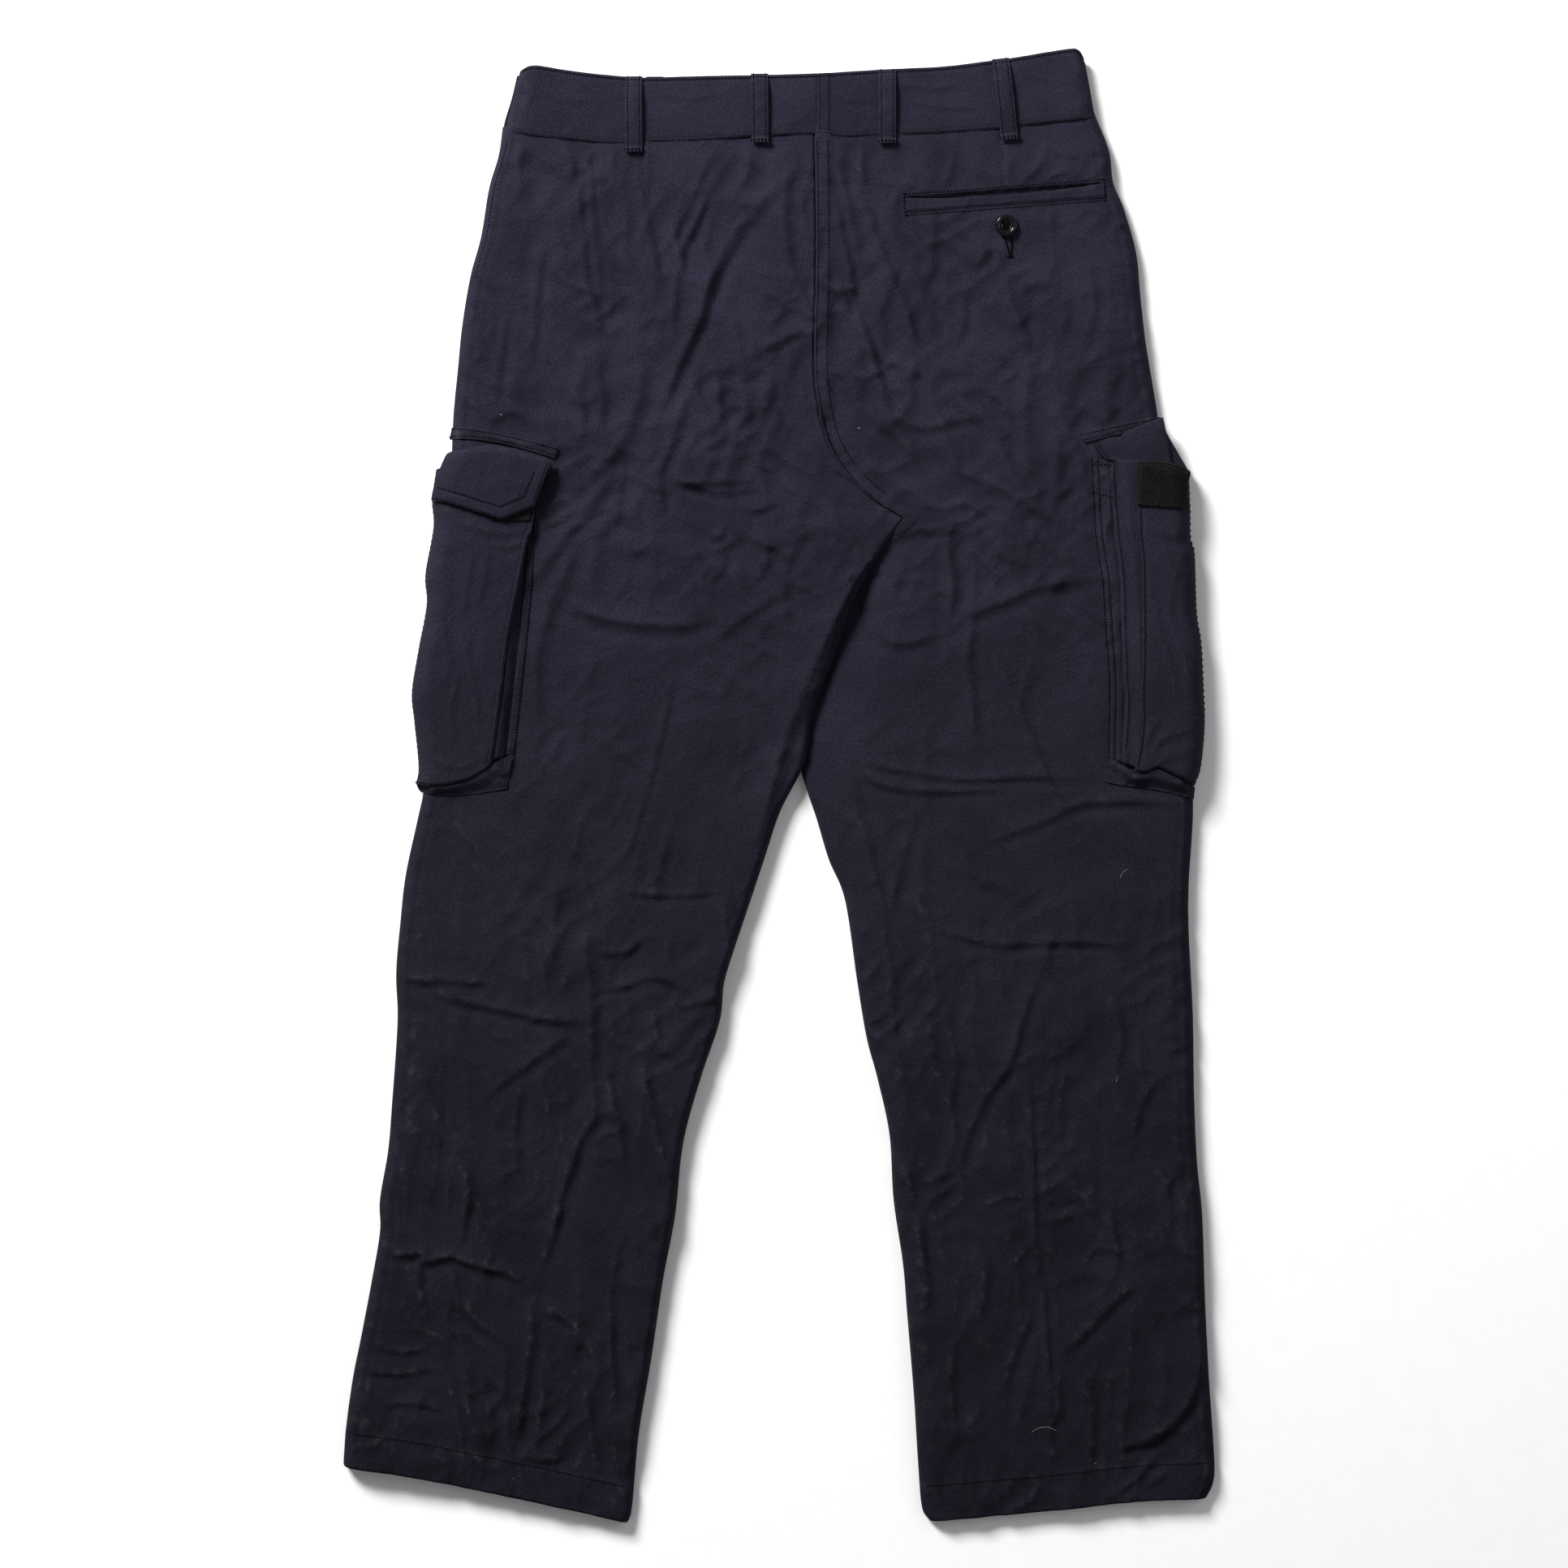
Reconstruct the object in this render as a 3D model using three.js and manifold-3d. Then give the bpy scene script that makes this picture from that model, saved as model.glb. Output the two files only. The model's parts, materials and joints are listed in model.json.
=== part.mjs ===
// Navy cotton cargo trousers, laid flat with their back up. Millimetres, +Z up.
// X runs across the garment, +X towards the wearer's right. Y runs along it, +Y towards the waist.
// The model is drawn from the middle of the waistband's top edge and centred on its base at the end.

import * as THREE from 'three';
import { mergeVertices } from 'three/addons/utils/BufferGeometryUtils.js';
import Module from 'manifold-3d';

const wasm = await Module();
wasm.setup();

// ---------------------------------------------------------------- driving dimensions

const clearance = 0.3;           // gap between pieces that are sewn or lie against each other
const ply = 1.0;                 // one layer of twill with its seam allowance
const loft = 15;                 // height of the back panels' top face above the floor

const waistLeft = 217;           // centre back seam to the left side, along the waistband's top
const waistRight = 200;          // centre back seam to the right side
const bandHeight = 48;           // waistband, top edge to seam
const bandPly = 2.4;             // folded waistband with its interlining
const bandRiseLeft = 4;          // how far the top edge climbs from the centre to each end
const bandRiseRight = 15;

const hipLeft = 247;             // centre back to the side, at the hip
const hipRight = 237;
const seatLeft = 267;            // the same, at the top of the cargo pockets
const seatRight = 254;
const hipDrop = 125;             // levels, measured down from the waistband's top edge
const seatDrop = 245;
const crotchDrop = 329;
const forkDrop = 509;            // where the two legs part
const kneeDrop = 665;
const calfDrop = 847;
const hemDrop = 1052;
const crotchSwing = 66;          // how far the rise seam swings to the right at the crotch

const forkWidth = 284;           // flat width of one leg
const kneeWidth = 246;
const calfWidth = 224;
const hemWidth = 215;
const forkOffset = 8;            // the fork lies this far left of the centre seam
const thighSplay = { left: 14.4, right: 6.9 };   // degrees outwards, fork to knee
const shinSplay = { left: 7.9, right: 4.9 };     // degrees outwards, knee to hem
const edgeSlope = 8;             // width over which a panel falls from its loft to the side seam
const seamHeight = 3;            // underside of the back panels at a side seam

const loopWidth = 12.6;
const loopLength = 56;
const loopGap = 5;               // room for a belt behind a loop
const loopPlaces = [-133, -40, 54, 141];
const loopFoot = 7;
const frontLoopPlace = 118;

const weltWidth = 149;           // back pocket
const weltHeight = 12;
const slitHeight = 6;
const backPocketMargin = 9;      // welt's outer end to the side seam
const backPocketDrop = 92;
const backPocketTilt = 4.3;
const backBagDepth = 120;
const backBagRoom = 4.6;
const buttonDiameter = 16.3;
const buttonThickness = 3;
const buttonDrop = 21;           // below the middle of the welt
const buttonHoleDiameter = 1.8;
const shankHeight = 1.2;

const pocketReach = { left: 70, right: 60 };     // cargo pocket's stitched edge to the leg's side
const pocketProud = { left: 9, right: 12 };      // how far the pocket stands past the leg's side
const pocketRoom = { left: 5.5, right: 9 };      // depth of the bellows
const pocketLength = 220;        // base to mouth
const pocketBase = 4;            // base above the fork's level
const facePly = 1.2;
const gussetFlange = 8;
const baseBand = 16;
const topBandHeight = 8;
const flapLength = 48;
const flapPly = 1.6;
const loopStart = { left: 4, right: 30 };        // stitched edge to the loop strip
const loopStripWidth = { left: 48, right: 32 };
const loopStripHeight = 34;
const hookStripHeight = 20;
const tapePly = 1.2;

const zipLength = 165;
const zipTapeWidth = 13;
const chainWidth = 5;
const flyShieldWidth = 42;
const frontBagWidth = 120;
const frontBagLength = 170;

// ---------------------------------------------------------------- materials

const cloth = (colour) => new THREE.MeshStandardMaterial({ color: colour, roughness: 0.95, metalness: 0 });
const twill = cloth(0x2a2836);
const twillFolded = cloth(0x363345);
const lining = cloth(0x1d1d26);
const pile = cloth(0x141416);
const thread = cloth(0x0b0b10);
const buttonPlastic = new THREE.MeshStandardMaterial({ color: 0x0a0a0a, roughness: 0.25, metalness: 0 });
const brass = new THREE.MeshStandardMaterial({ color: 0x8f7440, roughness: 0.4, metalness: 1 });

// ---------------------------------------------------------------- helpers

const radians = THREE.MathUtils.degToRad;
const trousers = new THREE.Group();

function place(name, geometry, material, parent = trousers) {
  const mesh = new THREE.Mesh(geometry, material);
  mesh.name = name;
  parent.add(mesh);
  return mesh;
}

// A closed sheet over a grid of [x, y] points. lower and upper give the heights of a grid point.
function sheet(rows, lower, upper) {
  const across = rows[0].length;
  const positions = [];
  for (const height of [lower, upper]) {
    rows.forEach((row, i) => row.forEach(([x, y], j) => positions.push(x, y, height(i, j, x, y))));
  }
  const layer = rows.length * across;
  const at = (i, j, top) => (top ? layer : 0) + i * across + j;
  const index = [];
  const quad = (a, b, c, d) => index.push(a, b, c, a, c, d);
  for (let i = 0; i + 1 < rows.length; i += 1) {
    for (let j = 0; j + 1 < across; j += 1) {
      quad(at(i, j, 1), at(i + 1, j, 1), at(i + 1, j + 1, 1), at(i, j + 1, 1));
      quad(at(i, j, 0), at(i, j + 1, 0), at(i + 1, j + 1, 0), at(i + 1, j, 0));
    }
    const last = across - 1;
    quad(at(i, 0, 0), at(i + 1, 0, 0), at(i + 1, 0, 1), at(i, 0, 1));
    quad(at(i + 1, last, 0), at(i, last, 0), at(i, last, 1), at(i + 1, last, 1));
  }
  const end = rows.length - 1;
  for (let j = 0; j + 1 < across; j += 1) {
    quad(at(0, j + 1, 0), at(0, j, 0), at(0, j, 1), at(0, j + 1, 1));
    quad(at(end, j, 0), at(end, j + 1, 0), at(end, j + 1, 1), at(end, j, 1));
  }
  const geometry = new THREE.BufferGeometry();
  geometry.setAttribute('position', new THREE.Float32BufferAttribute(positions, 3));
  geometry.setIndex(index);
  return geometry;
}

// Points across a row, from its left end to its right end, with one column at each inset.
function columns(left, right, insets) {
  const width = Math.hypot(right[0] - left[0], right[1] - left[1]);
  const shares = [0, ...insets.map((inset) => inset / width), 0.5];
  insets.slice().reverse().forEach((inset) => shares.push(1 - inset / width));
  shares.push(1);
  return shares.map((t) => [left[0] + (right[0] - left[0]) * t, left[1] + (right[1] - left[1]) * t]);
}

// A prism: an outline in the plane of two axes, extruded along the third.
function prism(points, depth, basis) {
  const shape = new THREE.Shape(points.map(([a, b]) => new THREE.Vector2(a, b)));
  const geometry = new THREE.ExtrudeGeometry(shape, { depth, bevelEnabled: false });
  return basis ? geometry.applyMatrix4(basis) : geometry;
}
const axis = (x, y, z) => new THREE.Vector3(x, y, z);
const alongX = new THREE.Matrix4().makeBasis(axis(0, 1, 0), axis(0, 0, 1), axis(1, 0, 0));
const alongY = new THREE.Matrix4().makeBasis(axis(0, 0, 1), axis(1, 0, 0), axis(0, 1, 0));

function block([x0, x1], [y0, y1], [z0, z1]) {
  const geometry = new THREE.BoxGeometry(x1 - x0, y1 - y0, z1 - z0);
  return geometry.translate((x0 + x1) / 2, (y0 + y1) / 2, (z0 + z1) / 2);
}

function solid(geometry) {
  const bare = geometry.clone();
  bare.deleteAttribute('normal');
  bare.deleteAttribute('uv');
  const merged = mergeVertices(bare, 1e-4);
  return new wasm.Manifold(new wasm.Mesh({
    numProp: 3,
    vertProperties: new Float32Array(merged.attributes.position.array),
    triVerts: new Uint32Array(merged.index.array),
  }));
}

function cut(geometry, ...tools) {
  const mesh = tools.reduce((body, tool) => body.subtract(solid(tool)), solid(geometry)).getMesh();
  const result = new THREE.BufferGeometry();
  result.setAttribute('position', new THREE.Float32BufferAttribute(mesh.vertProperties, 3));
  result.setIndex(Array.from(mesh.triVerts));
  return result;
}

// ---------------------------------------------------------------- the garment's plan

// Height of the waistband's top edge at x: it dips at the centre back and climbs to both ends.
const bandLine = (x) => (x < 0 ? (-x / waistLeft) * bandRiseLeft : (x / waistRight) * bandRiseRight);

// The leg's centre line and the two ends of its flat section, square to the leg at that level.
function legSection(side, drop, width, shift = 0) {
  const out = side === 'left' ? -1 : 1;
  const thigh = radians(thighSplay[side]);
  const shin = radians(shinSplay[side]);
  const forkCentre = -forkOffset + (out * forkWidth) / 2;
  const kneeCentre = forkCentre + out * Math.tan(thigh) * (kneeDrop - forkDrop);
  const centre = drop <= kneeDrop
    ? forkCentre + out * Math.tan(thigh) * (drop - forkDrop)
    : kneeCentre + out * Math.tan(shin) * (drop - kneeDrop);
  const turn = drop <= forkDrop ? 0 : shin;
  const end = (reach) => [
    centre + reach * Math.cos(turn) + out * Math.sin(turn) * -shift,
    -drop + out * reach * Math.sin(turn) + Math.cos(turn) * shift,
  ];
  return { left: end(-width / 2), right: end(width / 2), centre: [centre, -drop], turn: out * turn };
}

const sideEdge = {
  left: [[-waistLeft - 12, bandHeight], [-hipLeft, hipDrop], [-seatLeft, seatDrop]],
  right: [[waistRight + 6, bandHeight], [hipRight, hipDrop], [seatRight, seatDrop]],
};

// The rise seam runs down the centre back, swings to the crotch and returns to the fork.
const riseSeam = [
  [0, bandHeight], [0, hipDrop], [0, seatDrop], [crotchSwing * 0.25, crotchDrop - 40],
  [crotchSwing, crotchDrop], [crotchSwing * 0.42, crotchDrop + 60], [0, forkDrop - 40],
];

// The x of an edge, given as [x, drop] points, at one level.
function sampleEdge(points, drop) {
  const next = points.findIndex(([, level]) => level >= drop);
  if (next < 0) return points[points.length - 1][0];
  if (next === 0) return points[0][0];
  const [x0, d0] = points[next - 1];
  const [x1, d1] = points[next];
  return x0 + ((x1 - x0) * (drop - d0)) / (d1 - d0);
}

// The garment's side seam, waistband to fork.
function sideSeam(side) {
  const fork = legSection(side, forkDrop, forkWidth);
  return [...sideEdge[side], [fork[side][0], forkDrop]];
}

function thighRows(side, innerEdge, levels, insets) {
  const out = side === 'left' ? -1 : 1;
  const outerPoints = sideSeam(side);
  const innerPoints = [...innerEdge, [-forkOffset, forkDrop]];
  const rows = levels.map((drop) => {
    const outer = sampleEdge(outerPoints, drop);
    const inner = sampleEdge(innerPoints, drop) + (out * clearance) / 2;
    const level = (x) => (drop === bandHeight ? bandLine(x) - bandHeight - clearance : -drop);
    const ends = [[outer, level(outer)], [inner, level(inner)]];
    if (side === 'right') ends.reverse();
    const row = columns(ends[0], ends[1], insets);
    return row.map(([x, y]) => [x, drop === bandHeight ? level(x) : y]);
  });
  const knee = legSection(side, kneeDrop, kneeWidth, clearance / 2);
  rows.push(columns(knee.left, knee.right, insets));
  return rows;
}

function shinRows(side, insets) {
  const knee = legSection(side, kneeDrop, kneeWidth, -clearance / 2);
  const calf = legSection(side, calfDrop, calfWidth);
  const hem = legSection(side, hemDrop, hemWidth);
  return [knee, calf, hem].map((section) => columns(section.left, section.right, insets));
}

// ---------------------------------------------------------------- panels

const backLevels = [
  bandHeight, hipDrop, seatDrop, crotchDrop - 40, crotchDrop, crotchDrop + 60, forkDrop - 40, forkDrop,
];
const pocketTopDrop = forkDrop - pocketBase - pocketLength;
const frontLevels = [
  bandHeight, hipDrop, pocketTopDrop - 42, pocketTopDrop - 30, crotchDrop, forkDrop + 8, forkDrop + 30,
];

// A back panel is flat at its loft and falls to each seam that closes a tube of cloth.
function backHeights(rows, fallsLeft, fallsRight) {
  const last = rows[0].length - 1;
  const upper = (i, j) => {
    const falls = (j === 0 && fallsLeft(i)) || (j === last && fallsRight(i));
    return falls ? seamHeight + ply : loft;
  };
  return [(i, j) => upper(i, j) - ply, upper];
}

const backPocketX = sampleEdge(sideSeam('right'), backPocketDrop) - backPocketMargin - weltWidth / 2;

function backPocketWindow(depth) {
  const window = block(
    [-weltWidth / 2, weltWidth / 2],
    [-weltHeight / 2 - clearance, weltHeight / 2 + slitHeight + clearance],
    [loft - depth, loft + depth],
  );
  window.rotateZ(radians(backPocketTilt));
  return window.translate(backPocketX, -backPocketDrop, 0);
}

function backPanels() {
  const tubeStarts = backLevels.indexOf(crotchDrop + 60);
  const always = () => true;
  const belowCrotch = (i) => i >= tubeStarts;
  const leftLevels = backLevels.flatMap((drop, i) => (
    i === tubeStarts ? [drop - clearance / 2, drop + clearance / 2] : [drop]));
  const leftRows = thighRows('left', riseSeam, leftLevels, [edgeSlope]);
  const seatRows = leftRows.slice(0, tubeStarts + 1);
  const tubeRows = leftRows.slice(tubeStarts + 1);
  const rightRows = thighRows('right', riseSeam, backLevels, [edgeSlope]);
  place('back_panel_left', sheet(seatRows, ...backHeights(seatRows, always, belowCrotch)), twill);
  place('thigh_back_left', sheet(tubeRows, ...backHeights(tubeRows, always, always)), twill);
  const right = sheet(rightRows, ...backHeights(rightRows, belowCrotch, always));
  place('back_panel_right', cut(right, backPocketWindow(ply * 3)), twill);
  for (const side of ['left', 'right']) {
    const rows = shinRows(side, [edgeSlope]);
    place(`shin_back_${side}`, sheet(rows, ...backHeights(rows, always, always)), twill);
  }
}

// A front panel lies on the floor, and on the pinned half of the cargo pocket along its side.
function frontPanels() {
  const straight = [[0, bandHeight], [0, forkDrop - 40]];
  for (const side of ['left', 'right']) {
    const reach = pocketReach[side] + 8;
    const rows = thighRows(side, straight, frontLevels, [reach - 10, reach]);
    const outerColumns = side === 'left' ? [0, 1] : [rows[0].length - 2, rows[0].length - 1];
    const raised = (i, j) => i >= 3 && i <= 5 && outerColumns.includes(j);
    const lower = (i, j) => (raised(i, j) ? facePly + clearance : 0);
    place(`front_panel_${side}`, sheet(rows, lower, (i, j) => lower(i, j) + ply), twill);
    place(`shin_front_${side}`, sheet(shinRows(side, [edgeSlope]), () => 0, () => ply), twill);
  }
}

// ---------------------------------------------------------------- waistband and belt loops

const bandBase = facePly + clearance;        // front waistband, lifted by the flattened front loops
const bandTop = loft + bandPly / 4;          // back waistband's outer face

function waistband() {
  const ends = { left: [-waistLeft, -waistLeft - 12], right: [waistRight, waistRight + 6] };
  for (const [side, [topEnd, seamEnd]] of Object.entries(ends)) {
    const out = Math.sign(topEnd);
    const row = (end, drop) => {
      const points = [[end, 0], [end - out * edgeSlope, 0], [(out * clearance) / 2, 0]];
      if (side === 'right') points.reverse();
      return points.map(([x]) => [x, bandLine(x) - drop]);
    };
    const rows = [row(topEnd, 0), row(seamEnd, bandHeight)];
    const outer = side === 'left' ? 0 : 2;
    const upper = (i, j) => (j === outer ? bandBase + 2 * bandPly + clearance : bandTop);
    place(`waistband_back_${side}`, sheet(rows, (i, j) => upper(i, j) - bandPly, upper), twillFolded);
    place(`waistband_front_${side}`, sheet(rows, () => bandBase, () => bandBase + bandPly), twillFolded);
  }
}

function beltLoops() {
  const foot = bandTop + clearance;
  const crown = foot + facePly + loopGap;
  const bend = loopFoot + 4;
  const outline = [
    [0, foot], [0, foot + facePly], [-loopFoot, foot + facePly], [-bend, crown], [bend - loopLength, crown],
    [loopFoot - loopLength, foot + facePly], [-loopLength, foot + facePly], [-loopLength, foot],
    [loopFoot - loopLength, foot], [bend - loopLength, crown - facePly], [-bend, crown - facePly],
    [-loopFoot, foot],
  ];
  loopPlaces.forEach((x, i) => {
    const loop = prism(outline, loopWidth, alongX).translate(x - loopWidth / 2, bandLine(x) - 2, 0);
    place(`belt_loop_back_${i + 1}`, loop, twillFolded);
  });
  for (const [side, out] of [['left', -1], ['right', 1]]) {
    const x = out * frontLoopPlace;
    const y = bandLine(x);
    const flat = block([x - loopWidth / 2, x + loopWidth / 2], [y - bandHeight + 2, y - 2], [0, facePly]);
    place(`belt_loop_front_${side}`, flat, twillFolded);
  }
}

// ---------------------------------------------------------------- back pocket

function backPocket() {
  const pocket = new THREE.Group();
  pocket.position.set(backPocketX, -backPocketDrop, 0);
  pocket.rotation.z = radians(backPocketTilt);
  trousers.add(pocket);
  const half = weltWidth / 2 - clearance;
  const weltZ = [loft - ply, loft + facePly / 4];
  const welt = block([-half, half], [-weltHeight / 2, weltHeight / 2], weltZ);
  place('back_pocket_welt', welt, twillFolded, pocket);

  const bagTop = loft - ply - clearance;
  const bagBase = bagTop - backBagRoom - ply;
  const mouth = weltHeight / 2 + slitHeight + 4;
  const bagHalf = half - 3;
  const bag = block([-bagHalf, bagHalf], [-backBagDepth, mouth + ply], [bagBase, bagTop]);
  const bagInner = bagHalf - ply;
  const room = block([-bagInner, bagInner], [ply - backBagDepth, mouth], [bagBase + ply, bagTop + ply]);
  place('back_pocket_bag', cut(bag, room), lining, pocket);
  const facingBase = bagBase + ply + clearance;
  const facingHalf = bagInner - clearance;
  const facing = block([-facingHalf, facingHalf], [-30, mouth - 1], [facingBase, facingBase + ply / 2]);
  place('back_pocket_facing', facing, twill, pocket);

  const buttonPlace = new THREE.Group();
  buttonPlace.position.set(0, -buttonDrop, 0);
  pocket.add(buttonPlace);
  const shankBase = loft + clearance;
  const shank = new THREE.CylinderGeometry(2, 2, shankHeight, 10).rotateX(Math.PI / 2);
  shank.translate(0, 0, shankBase + shankHeight / 2);
  place('back_pocket_button_shank', shank, thread, buttonPlace);
  const button = sewnButton(buttonDiameter, buttonThickness);
  button.translate(0, 0, shankBase + shankHeight + clearance);
  place('back_pocket_button', button, buttonPlastic, buttonPlace);
}

// A dished button with a raised rim and four thread holes, its back at z = 0.
function sewnButton(diameter, thickness) {
  const r = diameter / 2;
  const profile = [
    [0, 0], [r * 0.7, 0], [r, thickness * 0.4], [r, thickness * 0.75], [r * 0.88, thickness],
    [r * 0.7, thickness * 0.9], [r * 0.55, thickness * 0.6], [0, thickness * 0.6],
  ];
  const points = profile.map(([a, b]) => new THREE.Vector2(a, b));
  const disc = new THREE.LatheGeometry(points, 24).rotateX(Math.PI / 2);
  const holes = [45, 135, 225, 315].map((turn) => {
    const hole = new THREE.CylinderGeometry(buttonHoleDiameter / 2, buttonHoleDiameter / 2, thickness * 3, 8);
    hole.rotateX(Math.PI / 2);
    return hole.translate(Math.cos(radians(turn)) * r * 0.26, Math.sin(radians(turn)) * r * 0.26, 0);
  });
  return cut(disc, ...holes);
}

// ---------------------------------------------------------------- cargo pockets

// Each pocket is drawn in its own group: u runs outwards from the stitched edge, y from base to mouth.
function cargoPocket(side) {
  const out = side === 'left' ? -1 : 1;
  const pocketHalf = pocketReach[side];
  const seam = sideSeam(side);
  const seatEdge = sampleEdge(seam, seatDrop);
  const forkEdge = sampleEdge(seam, forkDrop);
  const pocket = new THREE.Group();
  pocket.position.set(forkEdge - out * pocketHalf, pocketBase - forkDrop, 0);
  pocket.rotation.z = Math.atan2(forkEdge - seatEdge, forkDrop - seatDrop);
  trousers.add(pocket);

  const legFall = (seamHeight + ply - loft) / edgeSlope;
  const edgeStart = pocketHalf - edgeSlope;
  const legTop = (u) => loft + clearance + Math.max(0, u - edgeStart) * legFall;
  const faceUnder = loft + clearance + pocketRoom[side];
  const faceTop = faceUnder + facePly;
  const outer = pocketHalf + pocketProud[side];
  const span = (near, far) => (side === 'left' ? [-far, -near] : [near, far]);
  const strips = (us, vs) => vs.map((v) => {
    const row = us.map((u) => [out * u, v]);
    return side === 'left' ? row.reverse() : row;
  });
  const over = (us, heights) => (i, j) => heights(us[side === 'left' ? us.length - 1 - j : j], i);

  // the face falls over the side of the leg to the fold
  const faceColumns = [3, pocketHalf - 14, pocketHalf, outer - 2, outer];
  const drop = [0, 0, 3, 9, faceTop - 4];
  const faceHeights = (u) => faceTop - drop[faceColumns.indexOf(u)];
  const faceRows = strips(faceColumns, [pocketLength, pocketLength / 2, 2.5]);
  const faceUpper = over(faceColumns, faceHeights);
  const face = sheet(faceRows, (i, j) => faceUpper(i, j) - facePly, faceUpper);
  place(`${side}_pocket_face`, face, twillFolded, pocket);
  const pinned = block(span(14, outer), [2.5, pocketLength], [0, facePly]);
  place(`${side}_pocket_pinned_half`, pinned, twillFolded, pocket);

  // side gusset: a flange stitched to the leg and a wall up to the face
  const wallTop = faceUnder - clearance;
  const base = loft + clearance;
  const section = [
    [base, -out * gussetFlange], [base, out * facePly], [wallTop, out * facePly], [wallTop, 0],
    [base + ply, 0], [base + ply, -out * gussetFlange],
  ];
  place(`${side}_pocket_gusset`, prism(section, pocketLength - 3, alongY).translate(0, 2, 0), twill, pocket);

  const baseColumns = [clearance + facePly * 2, edgeStart, pocketHalf - 4];
  const wallHeight = (u) => wallTop - (u > edgeStart ? 6 : 0);
  const baseUpper = over(baseColumns, (u, i) => (i < 2 ? wallHeight(u) : legTop(u) + ply));
  const baseLower = over(baseColumns, (u) => legTop(u));
  const baseRows = strips(baseColumns, [1.4, 0, -0.4, -baseBand]);
  place(`${side}_pocket_base_gusset`, sheet(baseRows, baseLower, baseUpper), twill, pocket);

  const bandColumns = [-4, edgeStart, pocketHalf - 4];
  const bandStart = pocketLength + (side === 'left' ? 10 : 17);
  const bandRows = strips(bandColumns, [bandStart + topBandHeight, bandStart]);
  const bandLower = over(bandColumns, (u) => legTop(u));
  const topBand = sheet(bandRows, bandLower, (i, j) => bandLower(i, j) + facePly * 1.4);
  place(`${side}_pocket_top_band`, topBand, twillFolded, pocket);

  const loopSpan = span(loopStart[side], loopStart[side] + loopStripWidth[side]);
  const loopTape = block(loopSpan, [pocketLength - 4 - loopStripHeight, pocketLength - 4],
    [faceTop + clearance, faceTop + clearance + tapePly]);
  place(`${side}_pocket_loop_strip`, loopTape, pile, pocket);

  // the left flap lies closed over the mouth; the right one is tucked down inside it
  const flapTop = side === 'left' ? pocketLength + 6 : pocketLength + 15;
  const flapBase = side === 'left'
    ? faceTop + clearance * 3 + tapePly * 2
    : loft + clearance * 2 + facePly / 2;
  const flapEnd = side === 'left' ? outer - 4 : pocketHalf - 10;
  const flapOutline = [
    [6, flapTop], [flapEnd, flapTop], [flapEnd, flapTop - flapLength + 8],
    [pocketHalf * 0.5, flapTop - flapLength], [16, flapTop - flapLength + 12],
  ].map(([u, v]) => [out * u, v]);
  place(`${side}_pocket_flap`, prism(flapOutline, flapPly).translate(0, 0, flapBase), twillFolded, pocket);
  const hookZ = side === 'left'
    ? [flapBase - clearance - tapePly, flapBase - clearance]
    : [flapBase + flapPly + clearance, flapBase + flapPly + clearance + tapePly];
  const hookEnd = flapTop - flapLength + 14;
  const hookTape = block(span(12, flapEnd - 8), [hookEnd, hookEnd + hookStripHeight], hookZ);
  place(`${side}_pocket_hook_strip`, hookTape, pile, pocket);
}

// ---------------------------------------------------------------- fly, waist button and hand pockets

function fly() {
  const top = -bandHeight - 6;
  const sliderBase = ply + clearance * 2 + 1.4;
  const chainBase = sliderBase + 1.8 + clearance;
  const zipSpan = [top - zipLength, top];
  place('zip_chain', block([-chainWidth / 2, chainWidth / 2], zipSpan, [chainBase, chainBase + 1.5]), brass);
  for (const [side, out] of [['left', -1], ['right', 1]]) {
    const inner = chainWidth / 2 + clearance;
    const span = [out * inner, out * (inner + zipTapeWidth)].sort((a, b) => a - b);
    place(`zip_tape_${side}`, block(span, zipSpan, [chainBase + 0.4, chainBase + 1]), lining);
  }
  const slider = prism([[-4.5, 0], [4.5, 0], [3.4, -9], [-3.4, -9]], 1.8);
  place('zip_slider', slider.translate(0, top - 2, sliderBase), brass);
  const pullZ = ply + clearance;
  place('zip_pull', block([-2.6, 2.6], [top - 30, top - 5], [pullZ, pullZ + 1.1]), brass);
  const shieldBase = chainBase + 1.5 + clearance;
  const shield = block([-flyShieldWidth / 2, flyShieldWidth / 2], [top - zipLength - 8, top + 3],
    [shieldBase, shieldBase + ply]);
  place('fly_shield', shield, twill);

  const button = sewnButton(buttonDiameter, buttonThickness * 0.8);
  button.translate(0, -bandHeight / 2, bandBase + bandPly + clearance);
  place('waist_button', button, buttonPlastic);
  for (const [side, out] of [['left', -1], ['right', 1]]) {
    const near = out * (flyShieldWidth / 2 + 30);
    const span = [near, near + out * frontBagWidth].sort((a, b) => a - b);
    const bag = block(span, [-bandHeight - 12 - frontBagLength, -bandHeight - 12],
      [ply + clearance, ply + clearance + 1.6]);
    place(`hand_pocket_bag_${side}`, bag, lining);
  }
}

// ---------------------------------------------------------------- assembly

backPanels();
frontPanels();
waistband();
beltLoops();
backPocket();
cargoPocket('left');
cargoPocket('right');
fly();

const extent = new THREE.Box3().setFromObject(trousers);
const middle = extent.getCenter(new THREE.Vector3());
trousers.position.set(-middle.x, -middle.y, -extent.min.z);

export default trousers;
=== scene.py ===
import json
import math

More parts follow.
